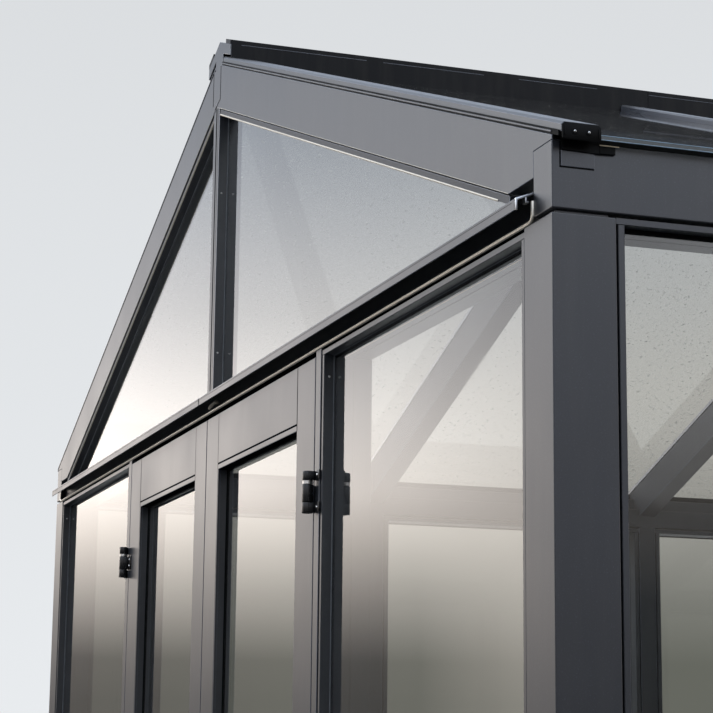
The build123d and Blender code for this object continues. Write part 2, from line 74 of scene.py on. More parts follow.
# Lengths are millimetres, up to the vertices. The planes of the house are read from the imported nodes.
MM = 0.001
WALL_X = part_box("corner_posts")[1].x / MM
GABLE_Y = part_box("corner_posts")[1].y / MM
EAVE_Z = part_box("right_eave_beam")[0].z / MM
RAKE_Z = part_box("right_eave_beam")[1].z / MM + 7
LEDGE_Z = EAVE_Z + 43.6
PITCH = math.radians(20.8)
ENDS = (-1, 1)
LEAVES = ("left_door", "right_door")
WINDOWS = ("left_window", "right_window", "gable_window")

# Slots of the part
FRAME, PLASTIC, METAL = "powder_coated_frame", "black_plastic", "black_metal"


# Colours and node trees

def linear(code):
    """Turns an sRGB hex colour into linear values."""
    parts = [int(code[i:i + 2], 16) / 255 for i in (0, 2, 4)]
    return tuple(c / 12.92 if c <= 0.04045 else ((c + 0.055) / 1.055) ** 2.4 for c in parts)


def shade(colour, factor, lift=0.0):
    """A colour made lighter or darker."""
    return tuple(c * factor + lift for c in colour)


def add_node(tree, kind, settings=(), output=0):
    """Adds a node and returns one of its outputs. A kind without a prefix is a shader node. A setting is a
    property, the value of a socket, or the output or list of outputs to link to it."""
    node = tree.nodes.new(kind if "Node" in kind else "ShaderNode" + kind)
    for key, value in dict(settings).items():
        sources = value if isinstance(value, list) else [value]
        if isinstance(sources[0], bpy.types.NodeSocket):
            for source in sources:
                tree.links.new(source, node.inputs[key])
        elif isinstance(key, int) or key in node.inputs:
            socket = node.inputs[key]
            socket.default_value = (*value, 1.0) if socket.type == "RGBA" and len(value) == 3 else value
        else:
            setattr(node, key, value)
    return node.outputs[output] if len(node.outputs) else None


def add_nodes(tree, kind, keys, rows):
    """Adds a node for each row, whose values are the settings of the keys, and returns their outputs."""
    return [add_node(tree, kind, dict(zip(keys, row))) for row in rows]


# Keys for rows of noises, ranges and sums
NOISE = ("Vector", "Scale", "Detail", "Roughness")
RANGE = ("Value", "From Min", "From Max", "To Min", "To Max")
MATHS = ("operation", 0, 1, "use_clamp")


def cells(size):
    """The scale of a noise whose cells are about size millimetres across."""
    return 1 / (size * MM)


def layered(tree, base, layers):
    """A colour under layers, each an amount and the colour that it brings."""
    for amount, colour in layers:
        base = add_node(tree, "Mix", {"data_type": "RGBA", 0: amount, 6: base, 7: colour}, 2)
    return base


def object_place(tree, stretch=(1.0, 1.0, 1.0)):
    """Object coordinates in metres, stretched along the axes."""
    place = add_node(tree, "TexCoord", output="Object")
    return add_node(tree, "Mapping", {"Scale": stretch, "Vector": place})


def seen_straight(tree):
    """1 for what the camera sees straight or through a pane."""
    path = add_node(tree, "LightPath").node.outputs
    return add_node(tree, "Math", {
        "operation": "MAXIMUM", 0: path["Is Camera Ray"], 1: path["Is Transmission Ray"]})


def new_material(name):
    """An empty node material and its tree."""
    material = bpy.data.materials.new(name)
    material.use_nodes = True
    material.node_tree.nodes.clear()
    return material, material.node_tree


def end_opaque(tree, base, rough, relief, strength, depth, settings):
    """Ends a material in one surface with a relief of depth millimetres."""
    bump = add_node(tree, "Bump", {"Strength": strength, "Distance": depth * MM, "Height": relief})
    shader = add_node(tree, "BsdfPrincipled", {
        **settings, "Base Color": base, "Roughness": rough, "Normal": bump})
    add_node(tree, "OutputMaterial", {0: shader})


# Finishes

def powder_coat(name, colour, roughness, gloss=0.5):
    """Polyester powder coat on aluminium or steel: satin, with a fine orange peel, and a thin film of dust
    and dried rain that lies on upward faces and runs down the upright ones. The flecks are drawn coarser
    than real ones, so that they show."""
    material, tree = new_material(name)
    place = object_place(tree)
    streaks, cloud, grain, peel = add_nodes(tree, "TexNoise", NOISE, (
        (object_place(tree, (1.0, 1.0, 0.12)), cells(35), 4.0, 0.6), (place, cells(400), 3.0),
        (place, cells(2.2), 1.0), (place, cells(4.5), 2.0)))
    up = add_node(tree, "SeparateXYZ", {0: add_node(tree, "NewGeometry", output="Normal")}, 2)
    lying, film, tone, flecks, rough = add_nodes(tree, "MapRange", RANGE, (
        (up, 0.2, 0.9, 0.0, 0.30), (streaks, 0.45, 0.8, 0.0, 0.045), (cloud, 0.3, 0.7, 0.0, 1.0),
        (grain, 0.60, 0.78, 0.0, 0.22), (cloud, 0.3, 0.7, roughness - 0.04, roughness + 0.05)))
    cover = add_node(tree, "Math", {"operation": "ADD", "use_clamp": True, 0: lying, 1: film})
    dust = bpy.context.scene.greenhouse_colours.dust
    base = layered(tree, shade(colour, 0.86), (
        (tone, shade(colour, 1.12)), (flecks, shade(colour, 3.5)), (cover, dust)))
    end_opaque(tree, base, rough, peel, 0.10, 0.2, {"IOR": 1.5, "Specular IOR Level": gloss})
    return material


def float_glass(name, tint, facing, edge_shade=1.0, dirt=0.0, film=0.0):
    """Clear float glass, 4 mm, facing one way: hard reflections, a faint green body and teal cut edges. On
    the roof it is a little hazy, with pale specks of dirt and dark edges."""
    material, tree = new_material(name)
    place = object_place(tree)
    normal = add_node(tree, "VectorTransform", {
        "vector_type": "NORMAL", "convert_from": "WORLD", "convert_to": "OBJECT",
        0: add_node(tree, "NewGeometry", output="Normal")})
    straight = add_node(tree, "VectorMath", {"operation": "DOT_PRODUCT", 0: normal, 1: facing}, "Value")
    flat = add_node(tree, "Math", {"operation": "ABSOLUTE", 0: straight})
    smears, grit, drops = add_nodes(tree, "TexNoise", NOISE, (
        (place, cells(250), 4.0, 0.65), (place, cells(6), 2.0, 0.7), (place, cells(12), 3.0, 0.7)))
    edge, clear, haze, specks, spots = add_nodes(tree, "MapRange", RANGE, (
        (flat, 0.5, 0.9, 1.0, 0.0), (flat, 0.5, 0.9, 0.35, 1.0), (smears, 0.45, 0.8, film, film + 0.035),
        (grit, 0.76, 0.82, 0.0, 0.10), (drops, 0.62, 0.66, 0.0, dirt)))
    rough, clear = add_nodes(tree, "Math", MATHS, (
        ("ADD", haze, specks, True), ("SUBTRACT", clear, spots, True)))
    edge_tint = shade(bpy.context.scene.greenhouse_colours.glass_edge, edge_shade)
    shader = add_node(tree, "BsdfPrincipled", {
        "IOR": 1.52, "Base Color": layered(tree, tint, ((edge, edge_tint),)), "Roughness": rough,
        "Transmission Weight": clear})
    passing = add_node(tree, "BsdfTransparent", {"Color": linear("F7F9F8")})
    shadow = add_node(tree, "LightPath", output="Is Shadow Ray")
    add_node(tree, "OutputMaterial", {0: add_node(tree, "MixShader", {0: shadow, 1: shader, 2: passing})})
    return material


def rolled_metal(name, colour, roughness, drawn=(1.0, 1.0, 1.0)):
    """Bare metal, with a slightly uneven sheen and fine drawing lines, which are coarser here than real ones,
    so that they show."""
    material, tree = new_material(name)
    lines, cloud = add_nodes(tree, "TexNoise", NOISE, (
        (object_place(tree, drawn), cells(1.2), 2.0), (object_place(tree), cells(20), 3.0)))
    tone, rough = add_nodes(tree, "MapRange", RANGE, (
        (cloud, 0.3, 0.7, 0.0, 1.0), (lines, 0.3, 0.7, roughness - 0.06, roughness + 0.10)))
    base = layered(tree, shade(colour, 0.88), ((tone, colour),))
    end_opaque(tree, base, rough, lines, 0.15, 0.1, {"Metallic": 1.0})
    return material


def moulded_polymer(name, colour, roughness, grain, gloss):
    """EPDM rubber, silicone or moulded plastic: even, slightly greyed where it rubs, with a fine grain, which
    is coarser here than the real one, so that it shows."""
    material, tree = new_material(name)
    place = object_place(tree)
    skin, cloud = add_nodes(tree, "TexNoise", NOISE, ((place, cells(grain), 2.0), (place, cells(30), 3.0)))
    tone, rough = add_nodes(tree, "MapRange", RANGE, (
        (cloud, 0.35, 0.75, 0.0, 0.6), (cloud, 0.3, 0.7, roughness - 0.08, roughness + 0.08)))
    base = layered(tree, colour, ((tone, shade(colour, 1.8, 0.001)),))
    end_opaque(tree, base, rough, skin, 0.2, 0.2, {"IOR": 1.5, "Specular IOR Level": gloss})
    return material


def matt_floor(name, pale):
    """Pale matt paint, faintly cloudy. Only the camera and the panes see it in full, so it lights little."""
    material, tree = new_material(name)
    cloud = add_node(tree, "TexNoise", {"Vector": object_place(tree), "Scale": cells(1500), "Detail": 3.0})
    tone = add_node(tree, "MapRange", {"Value": cloud, "From Min": 0.3, "From Max": 0.7})
    base = layered(tree, shade(pale, 0.97), ((tone, pale),))
    base = layered(tree, shade(pale, 0.16), ((seen_straight(tree), base),))
    shader = add_node(tree, "BsdfPrincipled", {
        "Roughness": 0.9, "Specular IOR Level": 0.2, "Base Color": base})
    add_node(tree, "OutputMaterial", {0: shader})
    return material


SLOPES = {side: (side * math.sin(PITCH), 0.0, math.cos(PITCH)) for side in ENDS}

# Each finish: its maker, the material's name, its colour in the panel, how much lighter than that it is, and
# the other values that the maker takes
MAKERS = {
    "floor": (matt_floor, "pale_studio_floor", "floor", 1.0),
    "coat": (powder_coat, "anthracite_powder_coat", "coat", 1.0, 0.34),
    # Paler, shinier copies of the coat on eased edges and on cap tops and flanks are painted highlights,
    # and a duller copy under the rakes is painted shade
    "coat_edge": (powder_coat, "powder_coat_on_edges", "coat", 5.5, 0.26, 0.7),
    "coat_band": (powder_coat, "powder_coat_on_cap_tops", "coat", 4.0, 0.30, 1.0),
    "coat_shaded": (powder_coat, "powder_coat_under_the_rakes", "coat", 1.0, 0.45, 0.22),
    "black_steel": (powder_coat, "black_powder_coated_steel", "black_steel", 1.0, 0.42, 0.1),
    "hinge_black": (powder_coat, "black_painted_hinge_steel", "black_steel", 1.0, 0.26, 0.35),
    "gable_glass": (float_glass, "float_glass_gable", "glass", 1.0, (0.0, 1.0, 0.0)),
    "side_glass": (float_glass, "float_glass_side", "glass", 1.0, (1.0, 0.0, 0.0)),
    "roof_glass_right": (float_glass, "float_glass_right_slope", "glass", 1.0, SLOPES[1], 0.12, 0.8, 0.02),
    "roof_glass_left": (float_glass, "float_glass_left_slope", "glass", 1.0, SLOPES[-1], 0.12, 0.8, 0.02),
    "rubber": (moulded_polymer, "black_rubber_gasket", "rubber", 1.0, 0.62, 1.5, 0.06),
    # Black for real joints, and for strips put where there is only shade, which are painted shade
    "shadow": (moulded_polymer, "matt_black_joint_rubber", "rubber", 1.0, 0.9, 1.0, 0.0),
    "grey_rubber": (moulded_polymer, "weathered_grey_gasket", "grey_rubber", 1.0, 0.5, 1.5, 0.5),
    "plastic": (moulded_polymer, "black_moulded_nylon", "plastic", 1.0, 0.38, 0.8, 0.05),
    "sealant": (moulded_polymer, "cream_silicone_sealant", "sealant", 1.0, 0.45, 3.0, 0.5),
    # Light blue lines along the edges of the roof panes: painted highlights
    "arris": (moulded_polymer, "ground_arris_of_the_glass", "arris", 1.0, 0.3, 2.0, 0.8),
    # Bright bare metal for thin lines along edges and a bead under the ledge: painted highlights
    "edge_highlight_metal": (rolled_metal, "bare_edge_of_the_profiles", "worn", 0.62, 0.5),
    "lip_edge": (rolled_metal, "bare_edge_of_the_tie_lip", "worn", 1.0, 0.45),
    "stainless": (rolled_metal, "brushed_stainless_steel", "stainless", 1.0, 0.28, (1.0, 1.0, 6.0)),
    "aluminium": (rolled_metal, "mill_finish_aluminium", "aluminium", 1.0, 0.36, (6.0, 1.0, 6.0)),
}
FINISHES = {}


def finish(word):
    """The finish of that word, made when it is first asked for."""
    if word not in FINISHES:
        maker, name, key, factor, *rest = MAKERS[word]
        colour = shade(getattr(bpy.context.scene.greenhouse_colours, key), factor)
        FINISHES[word] = maker(name, colour, *rest)
    return FINISHES[word]


# Geometry

def mesh_of(name, bm):
    """Turns a bmesh into a mesh."""
    mesh = bpy.data.meshes.new(name)
    bm.to_mesh(mesh)
    bm.free()
    return mesh


def add_object(name, data, words=""):
    """A new object in the scene, with the finishes that the words name."""
    item = bpy.data.objects.new(name, data)
    bpy.context.scene.collection.objects.link(item)
    for word in words.split():
        data.materials.append(finish(word))
    return item


def bake_modifiers(piece):
    """Works the modifiers into the mesh and takes them off."""
    mesh = bpy.data.meshes.new_from_object(piece.evaluated_get(bpy.context.evaluated_depsgraph_get()))
    piece.modifiers.clear()
    piece.data = mesh


def ease_edges(piece, radius, segments=2, edge_slot=-1):
    """Rounds the sharp edges of a piece by a small radius."""
    bevel = piece.modifiers.new("eased_edges", "BEVEL")
    bevel.width = radius * MM
    bevel.segments = segments
    bevel.limit_method = "ANGLE"
    bevel.angle_limit = math.radians(30)
    bevel.use_clamp_overlap = False
    bevel.material = edge_slot
    bake_modifiers(piece)


def seat(piece, slot, body, smooth=None):
    """Smooths a piece up to an angle in degrees and puts it on its body. The slot is not used."""
    if smooth:
        piece.data.shade_smooth()
        piece.data.set_sharp_from_angle(angle=math.radians(smooth))
    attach(piece, body)
    return piece


def piece_from(name, bm, words, slot=None, radius=0.0, smooth=None, body="house"):
    """Turns a bmesh into a finished piece. Of several finishes the second goes on its eased edges."""
    bmesh.ops.remove_doubles(bm, verts=bm.verts, dist=1e-6)
    bmesh.ops.recalc_face_normals(bm, faces=bm.faces)
    piece = add_object(name, mesh_of(name, bm), words)
    if radius:
        ease_edges(piece, radius, edge_slot=1 if " " in words else -1)
    return seat(piece, slot, body, smooth)


def roof_z(x, offset=0.0):
    """Height at x of the plane that lies offset above the tops of the rafters."""
    return RAKE_Z + (WALL_X - abs(x)) * math.tan(PITCH) + offset / math.cos(PITCH)


def solid_boxes(node):
    """Lowest and highest corner of each separate solid of a CAD node."""
    bm = bmesh.new()
    bm.from_mesh(frame["nodes"][node].data)
    bmesh.ops.remove_doubles(bm, verts=bm.verts, dist=1e-5)
    seen, boxes = set(), []
    for start in bm.verts:
        if start in seen:
            continue
        seen.add(start)
        found, corners = [start], []
        while found:
            vert = found.pop()
            corners.append(vert.co / MM)
            for edge in vert.link_edges:
                other = edge.other_vert(vert)
                if other not in seen:
                    seen.add(other)
                    found.append(other)
        boxes.append(tuple(Vector([pick(c[i] for c in corners) for i in range(3)]) for pick in (min, max)))
    bm.free()
    return sorted(boxes, key=lambda box: [round(c) for c in box[0]])


def reach(low, high):
    """The side of the house that a box lies on, and how far from the middle it begins and ends."""
    return (1 if low.x > 0 else -1, *sorted((abs(low.x), abs(high.x))))


def bridge(bm, first, second):
    """A band of faces between two rows of points that go round."""
    for i in range(len(first)):
        j = (i + 1) % len(first)
        bm.faces.new((first[i], first[j], second[j], second[i]))


def along(axis):
    """Places an outline on the other two axes and its depth on this one."""
    return lambda a, b, depth: (*(a, b)[:axis], depth, *(a, b)[axis:])


def add_prism(bm, outline, low, high, to_place):
    """A closed outline of (a, b) points drawn from low to high, each placed by to_place(a, b, depth)."""
    rows = [
        [bm.verts.new([c * MM for c in to_place(a, b, depth)]) for a, b in outline] for depth in (low, high)]
    bridge(bm, *rows)
    bm.faces.new(rows[0])
    bm.faces.new(rows[1])


def add_block(bm, low, high):
    """A block between two corners."""
    outline = [(low[0], low[1]), (high[0], low[1]), (high[0], high[1]), (low[0], high[1])]
    add_prism(bm, outline, low[2], high[2], along(2))


def add_slope_bar(bm, side, outline, x0, x1):
    """An outline of (y, offset) points drawn along a slope of the roof, from x0 to x1 off the middle."""
    add_prism(bm, outline, x0, x1, lambda y, offset, x: (side * x, y, roof_z(x, offset)))


def add_tube(bm, centre, axis, rings, sides=32, hollow=False):
    """A turned shape: rings of (distance along the axis, radius), closed at both ends. A hollow one has
    its rings going round its section instead, out and back through the bore."""
    axis = Vector(axis).normalized()
    side = axis.orthogonal().normalized()
    other = axis.cross(side)
    turns = [2 * math.pi * i / sides for i in range(sides)]
    rows = []
    for distance, radius in rings:
        middle = Vector(centre) + axis * distance
        rows.append([
            bm.verts.new((middle + (side * math.cos(turn) + other * math.sin(turn)) * radius) * MM)
            for turn in turns
        ])
    for first, second in zip(rows, rows[1:] + rows[:hollow]):
        bridge(bm, first, second)
    if not hollow:
        bm.faces.new(rows[0])
        bm.faces.new(rows[-1])


def barrel(height, radius, bore, ease):
    """Rings of a bored barrel with eased ends, for a hollow tube."""
    return [
        (0, radius - ease), (ease, radius), (height - ease, radius), (height, radius - ease),
        (height, bore), (0, bore),
    ]


def way_in(low, high):
    """The direction into the house through an upright pane."""
    if high.x - low.x < high.y - low.y:
        return Vector((-1 if low.x > 0 else 1, 0, 0))
    return Vector((0, -1 if low.y > 0 else 1, 0))


def pane_ring(low, high, grow, depth=0.0):
    """Corners of an upright pane grown on all sides, at a depth behind the outer face of its wall."""
    inward = way_in(low, high)
    plane = WALL_X if inward.x else GABLE_Y
    level = Vector((abs(inward.y), abs(inward.x), 0))
    u0, u1 = low.dot(level) - grow, high.dot(level) + grow
    z0, z1 = low.z - grow, high.z + grow
    corners = [(u0, z0), (u1, z0), (u1, z1), (u0, z1)]
    if inward.cross(level).z < 0:
        corners.reverse()
    return [level * u + Vector((0, 0, z)) - inward * (plane - depth) for u, z in corners]


# Geometry Nodes

def new_tree(name, inputs):
    """A geometry node tree with one incoming and one outgoing geometry and the named inputs."""
    tree = bpy.data.node_groups.new(name, "GeometryNodeTree")
    tree.interface.new_socket("Geometry", in_out="INPUT", socket_type="NodeSocketGeometry")
    for word, kind in inputs:
        tree.interface.new_socket(word, in_out="INPUT", socket_type="NodeSocket" + kind)
    tree.interface.new_socket("Geometry", in_out="OUTPUT", socket_type="NodeSocketGeometry")
    return tree, tree.nodes.new("NodeGroupInput").outputs


def bead_tree():
    """A rounded bead of rubber or sealant along every path of edges."""
    tree, given = new_tree("bead_along_paths", (
        ("Width", "Float"), ("Sides", "Int"), ("Material", "Material")))
    path = add_node(tree, "GeometryNodeMeshToCurve", {"Mesh": given["Geometry"]})
    radius = add_node(tree, "Math", {"operation": "MULTIPLY", 0: given["Width"], 1: 0.5})
    ring = add_node(tree, "GeometryNodeCurvePrimitiveCircle", {
        "Resolution": given["Sides"], "Radius": radius})
    bead = add_node(tree, "GeometryNodeCurveToMesh", {
        "Fill Caps": True, "Curve": path, "Profile Curve": ring})
    coated = add_node(tree, "GeometryNodeSetMaterial", {"Geometry": bead, "Material": given["Material"]})
    add_node(tree, "NodeGroupOutput", {0: add_node(tree, "GeometryNodeRealizeInstances", {0: coated})})
    return tree


def screw_tree():
    """A pan head with a dark hexagonal recess on every point, turned to the point's direction and spun
    by a fixed seed."""
    tree, given = new_tree("screw_heads", (
        ("Diameter", "Float"), ("Seed", "Int"), ("Head", "Material"), ("Recess", "Material")))
    # Cones of the foot, the crown and the recess: their sides, and shares of the diameter for lower and upper
    # radius and height
    cones = []
    for sides, *shares in ((12, 0.5, 0.44, 0.2), (12, 0.44, 0.26, 0.12), (6, 0.17, 0.17, 0.33)):
        below, above, height = add_nodes(
            tree, "Math", MATHS, [("MULTIPLY", given["Diameter"], share) for share in shares])
        cone = add_node(tree, "GeometryNodeMeshCone", {
            "Vertices": sides, "Radius Bottom": below, "Radius Top": above, "Depth": height})
        cones.append((cone, height))
    (foot, foot_height), (crown, _), (recess, _) = cones
    lift = add_node(tree, "CombineXYZ", {2: foot_height})
    raised = add_node(tree, "GeometryNodeTransform", {0: crown, "Translation": lift})
    head = add_node(tree, "GeometryNodeJoinGeometry", {0: [raised, foot]})
    dark, bright = add_nodes(tree, "GeometryNodeSetMaterial", (0, "Material"), (
        (recess, given["Recess"]), (head, given["Head"])))
    screw = add_node(tree, "GeometryNodeJoinGeometry", {0: [dark, bright]})
    way = add_node(tree, "GeometryNodeInputNamedAttribute", {"data_type": "FLOAT_VECTOR", "Name": "way"})
    aimed = add_node(tree, "FunctionNodeAlignRotationToVector", {"axis": "Z", "Vector": way})
    angle = add_node(tree, "FunctionNodeRandomValue", {
        "data_type": "FLOAT", 2: 0.0, 3: math.tau, 8: given["Seed"]}, 1)
    spin = add_node(tree, "FunctionNodeAxisAngleToRotation", {"Axis": (0, 0, 1), "Angle": angle})
    turned = add_node(tree, "FunctionNodeRotateRotation", {
        "rotation_space": "LOCAL", "Rotation": aimed, "Rotate By": spin})
    heads = add_node(tree, "GeometryNodeInstanceOnPoints", {
        "Points": given["Geometry"], "Instance": screw, "Rotation": turned})
    add_node(tree, "NodeGroupOutput", {0: add_node(tree, "GeometryNodeRealizeInstances", {0: heads})})
    return tree


def grow(name, mesh, tree, values, slot, body):
    """Runs a tree on a mesh of points or paths and keeps the outcome as one plain mesh of a body."""
    piece = add_object(name, mesh)
    repeat = piece.modifiers.new("repeat", "NODES")
    repeat.node_group = tree
    for socket in tree.interface.items_tree:
        if socket.in_out == "INPUT" and socket.name in values:
            repeat[socket.identifier] = values[socket.name]
    bake_modifiers(piece)
    bm = bmesh.new()
    bm.from_mesh(piece.data)
    bmesh.ops.recalc_face_normals(bm, faces=bm.faces)
    bm.to_mesh(piece.data)
    bm.free()
    return seat(piece, slot, body, 40)


def lay_beads(name, paths, width, word, slot=None, sides=6, body="house"):
    """Beads along paths, each a list of points and whether it closes on itself."""
    points, edges = [], []
    for path, closed in paths:
        start = len(points)
        points += [[c * MM for c in point] for point in path]
        edges += [(start + i, start + i + 1) for i in range(len(path) - 1)]
        if closed:
            edges.append((start + len(path) - 1, start))
    mesh = bpy.data.meshes.new(name)
    mesh.from_pydata(points, edges, [])
    grow(name, mesh, bead_tree(), {"Width": width * MM, "Sides": sides, "Material": finish(word)}, slot, body)


def set_screws(name, spots, diameter, body="house"):
    """Screw heads at spots, each a place and the direction that the head looks in."""
    mesh = bpy.data.meshes.new(name)
    mesh.from_pydata([[c * MM for c in place] for place, way in spots], [], [])
    ways = mesh.attributes.new("way", "FLOAT_VECTOR", "POINT")
    for i, (place, way) in enumerate(spots):
        ways.data[i].vector = way
    values = {"Diameter": diameter * MM, "Seed": 5, "Head": finish("stainless"), "Recess": finish("rubber")}
    grow(name, mesh, screw_tree(), values, None, body)


# Settings in the panel

def length(name, description, default, low, high):
    """A length in the panel, given in millimetres."""
    return bpy.props.FloatProperty(
        name=name, description=description, default=default * MM, unit="LENGTH", min=low * MM, max=high * MM)


def colour(name, code, thing):
    """The colour of a thing in the panel."""
    return bpy.props.FloatVectorProperty(
        name=name, description="Colour of " + thing, subtype="COLOR", default=linear(code), min=0, max=1)


class GreenhouseSizes(bpy.types.PropertyGroup):
    """Sizes of the finishing parts"""
    edge_radius: length("Edge radius", "Radius on the edges of the extruded profiles", 0.8, 0.1, 2)
    bar_joint: length("Bar joint", "Open joint where two bars of a window meet", 0.4, 0, 2)
    gasket_width: length("Gasket width", "Width of the rubber line that shows on a pane", 3.5, 1, 10)
    screw_head: length("Screw head", "Diameter of the screw heads in the frames", 4.5, 3, 14)


class GreenhouseColours(bpy.types.PropertyGroup):
    """Colours of the materials and of the studio"""
    coat: colour("Powder coat", "32353C", "the aluminium profiles")
    dust: colour("Dust", "8E8B85", "dust and dried rain")
    glass: colour("Glass", "FAFBFA", "the panes")
    glass_edge: colour("Glass edge", "3F7F79", "the cut edges of the panes")
    # Colour of the lines at the edges of the roof panes, which are painted highlights
    arris: colour("Arris", "9DB9D2", "the painted highlights on the roof pane edges")
    # Colour of the bright lines along edges, which are painted highlights
    worn: colour("Painted highlight", "FBF4E6", "the bare edges of the profiles")
    rubber: colour("Rubber", "0B0C0D", "the gaskets")
    grey_rubber: colour("Weathered rubber", "6E737B", "the gaskets on the weather side")
    plastic: colour("Plastic", "0E0F10", "the end plugs")
    black_steel: colour("Black steel", "131417", "the ridge cap and hinges")
    sealant: colour("Sealant", "D9C6AC", "the silicone lines along the tops of the panes")
    stainless: colour("Stainless steel", "C9C8C5", "screws and washers")
    aluminium: colour("Bare aluminium", "C4C6C8", "cut ends and plates")
    floor: colour("Floor", "DADCDD", "the studio floor")
    backdrop: colour("Backdrop", "E9ECEF", "the studio background")


# Pieces

def light_surroundings(tree, backdrop):
    """Surroundings that the camera sees plain and pale, while shiny faces mirror bands like those of an open
    garden. The height is 0 at the horizon, the turn 1 behind the camera and -1 beyond the house."""
    path = add_node(tree, "LightPath").node.outputs
    way = add_node(tree, "TexCoord")
    height = add_node(tree, "SeparateXYZ", {0: way}, 2)
    turn = add_node(tree, "VectorMath", {"operation": "DOT_PRODUCT", 0: way, 1: (0.8, -0.6, 0.0)}, "Value")
    sky, trees, clouds, beside = add_nodes(tree, "MapRange", RANGE, (
        (height, 0.0, 0.55, 0.0, 1.0), (height, 0.04, 0.15, 0.0, 1.0), (height, 0.17, 0.30, 0.0, 1.0),
        (turn, -0.94, -0.90, 0.0, 0.5)))
    straight = layered(tree, backdrop, ((sky, shade(backdrop, 0.80)),))
    through = layered(tree, linear("6E6F68"), (
        (trees, linear("B6B4AF")), (clouds, linear("92989F")), (beside, linear("2A2B2C"))))
    shown = layered(tree, straight, ((path["Is Transmission Ray"], through),))
    behind = add_node(tree, "Background", {"Color": shown, "Strength": 1.0})

    # The gable mirrors turns about -0.5, with a hedge below them, the side wall turns over 0.4, and the roof
    # glass what lies beyond the house
    cool, foot, glow, hedge_foot, hedge_top, off_hedge, side, to_side, low, high, beyond = add_nodes(
        tree, "MapRange", RANGE, (
            (height, 0.10, 0.34, 0.0, 1.0), (height, 0.02, 0.12, 0.35, 1.0), (height, 0.14, 0.34, 2.8, 1.15),
            (height, 0.04, 0.125, 0.2, 1.2), (height, 0.16, 0.21, 1.0, 0.83), (turn, -0.54, -0.49, 0.0, 1.0),
            (height, 0.07, 0.30, 0.03, 3.4), (turn, -0.2, 0.4, 0.0, 1.0), (height, 0.24, 0.29, 0.9, 0.06),
            (height, 0.43, 0.50, 0.0, 3.2), (turn, -0.88, -0.78, 1.0, 0.0)))
    gable, hedge, roof = add_nodes(tree, "Math", MATHS, (
        ("MULTIPLY", foot, glow), ("MULTIPLY", hedge_foot, hedge_top), ("ADD", low, high)))
    hedge = add_node(tree, "Mix", {"data_type": "FLOAT", 0: off_hedge, 2: hedge, 3: 1.0})
    gable = add_node(tree, "Math", {"operation": "MULTIPLY", 0: gable, 1: hedge})
    strength = add_node(tree, "Mix", {"data_type": "FLOAT", 0: to_side, 2: gable, 3: side})
    strength = add_node(tree, "Mix", {"data_type": "FLOAT", 0: beyond, 2: strength, 3: roof})
    mirrored = layered(tree, linear("FFF4EA"), ((cool, linear("B2BED0")),))
    gleam = add_node(tree, "Background", {"Color": mirrored, "Strength": strength})
    light = add_node(tree, "Background", {"Color": (0.96, 0.98, 1.0), "Strength": 0.55})
    unseen = add_node(tree, "MixShader", {0: path["Is Glossy Ray"], 1: light, 2: gleam})
    whole = add_node(tree, "MixShader", {0: seen_straight(tree), 1: unseen, 2: behind})
    add_node(tree, "OutputWorld", {0: whole})


class GREENHOUSE_OT_stage(bpy.types.Operator):
    """Lay the pale floor, light the studio and set the camera"""
    bl_idname = "greenhouse.stage"
    bl_label = "Stage"

    floor_reach = 60.0
    lamps = (("key", (-7.0, -11.0, 8.0), 620.0), ("side", (9.0, 3.0, 9.0), 160.0))
    lamp_size = 6.0
    aim = Vector((0, 0, 1.6))
    camera_place = (4.4447, -4.1558, 1.4514)
    camera_way = Vector((-0.9309, 0.3124, 0.1892))
    camera_up = Vector((0.1759, -0.0707, 0.9818))
    focal_length = 101.85

    def execute(self, context):
        bm = bmesh.new()
        bmesh.ops.create_grid(bm, x_segments=1, y_segments=1, size=self.floor_reach)
        add_object("studio_floor", mesh_of("studio_floor", bm), "floor")

        world = bpy.data.worlds.new("studio")
        context.scene.world = world
        world.use_nodes = True
        world.node_tree.nodes.clear()
        light_surroundings(world.node_tree, context.scene.greenhouse_colours.backdrop)

        for name, place, power in self.lamps:
            lamp = bpy.data.lights.new(name, "AREA")
            lamp.size = self.lamp_size
            lamp.energy = power
            holder = add_object(name, lamp)
            holder.location = place
            holder.rotation_euler = (self.aim - holder.location).to_track_quat("-Z", "Y").to_euler()

        camera = bpy.data.cameras.new("camera")
        camera.lens = self.focal_length
        camera.sensor_width = 36.0
        camera.clip_end = 300.0
        holder = add_object("camera", camera)
        forward = self.camera_way.normalized()
        right = forward.cross(self.camera_up).normalized()
        turn = Matrix((right, right.cross(forward), -forward)).transposed().to_4x4()
        holder.matrix_world = Matrix.Translation(self.camera_place) @ turn
        context.scene.camera = holder
        context.scene.view_settings.view_transform = "Standard"
        return {"FINISHED"}


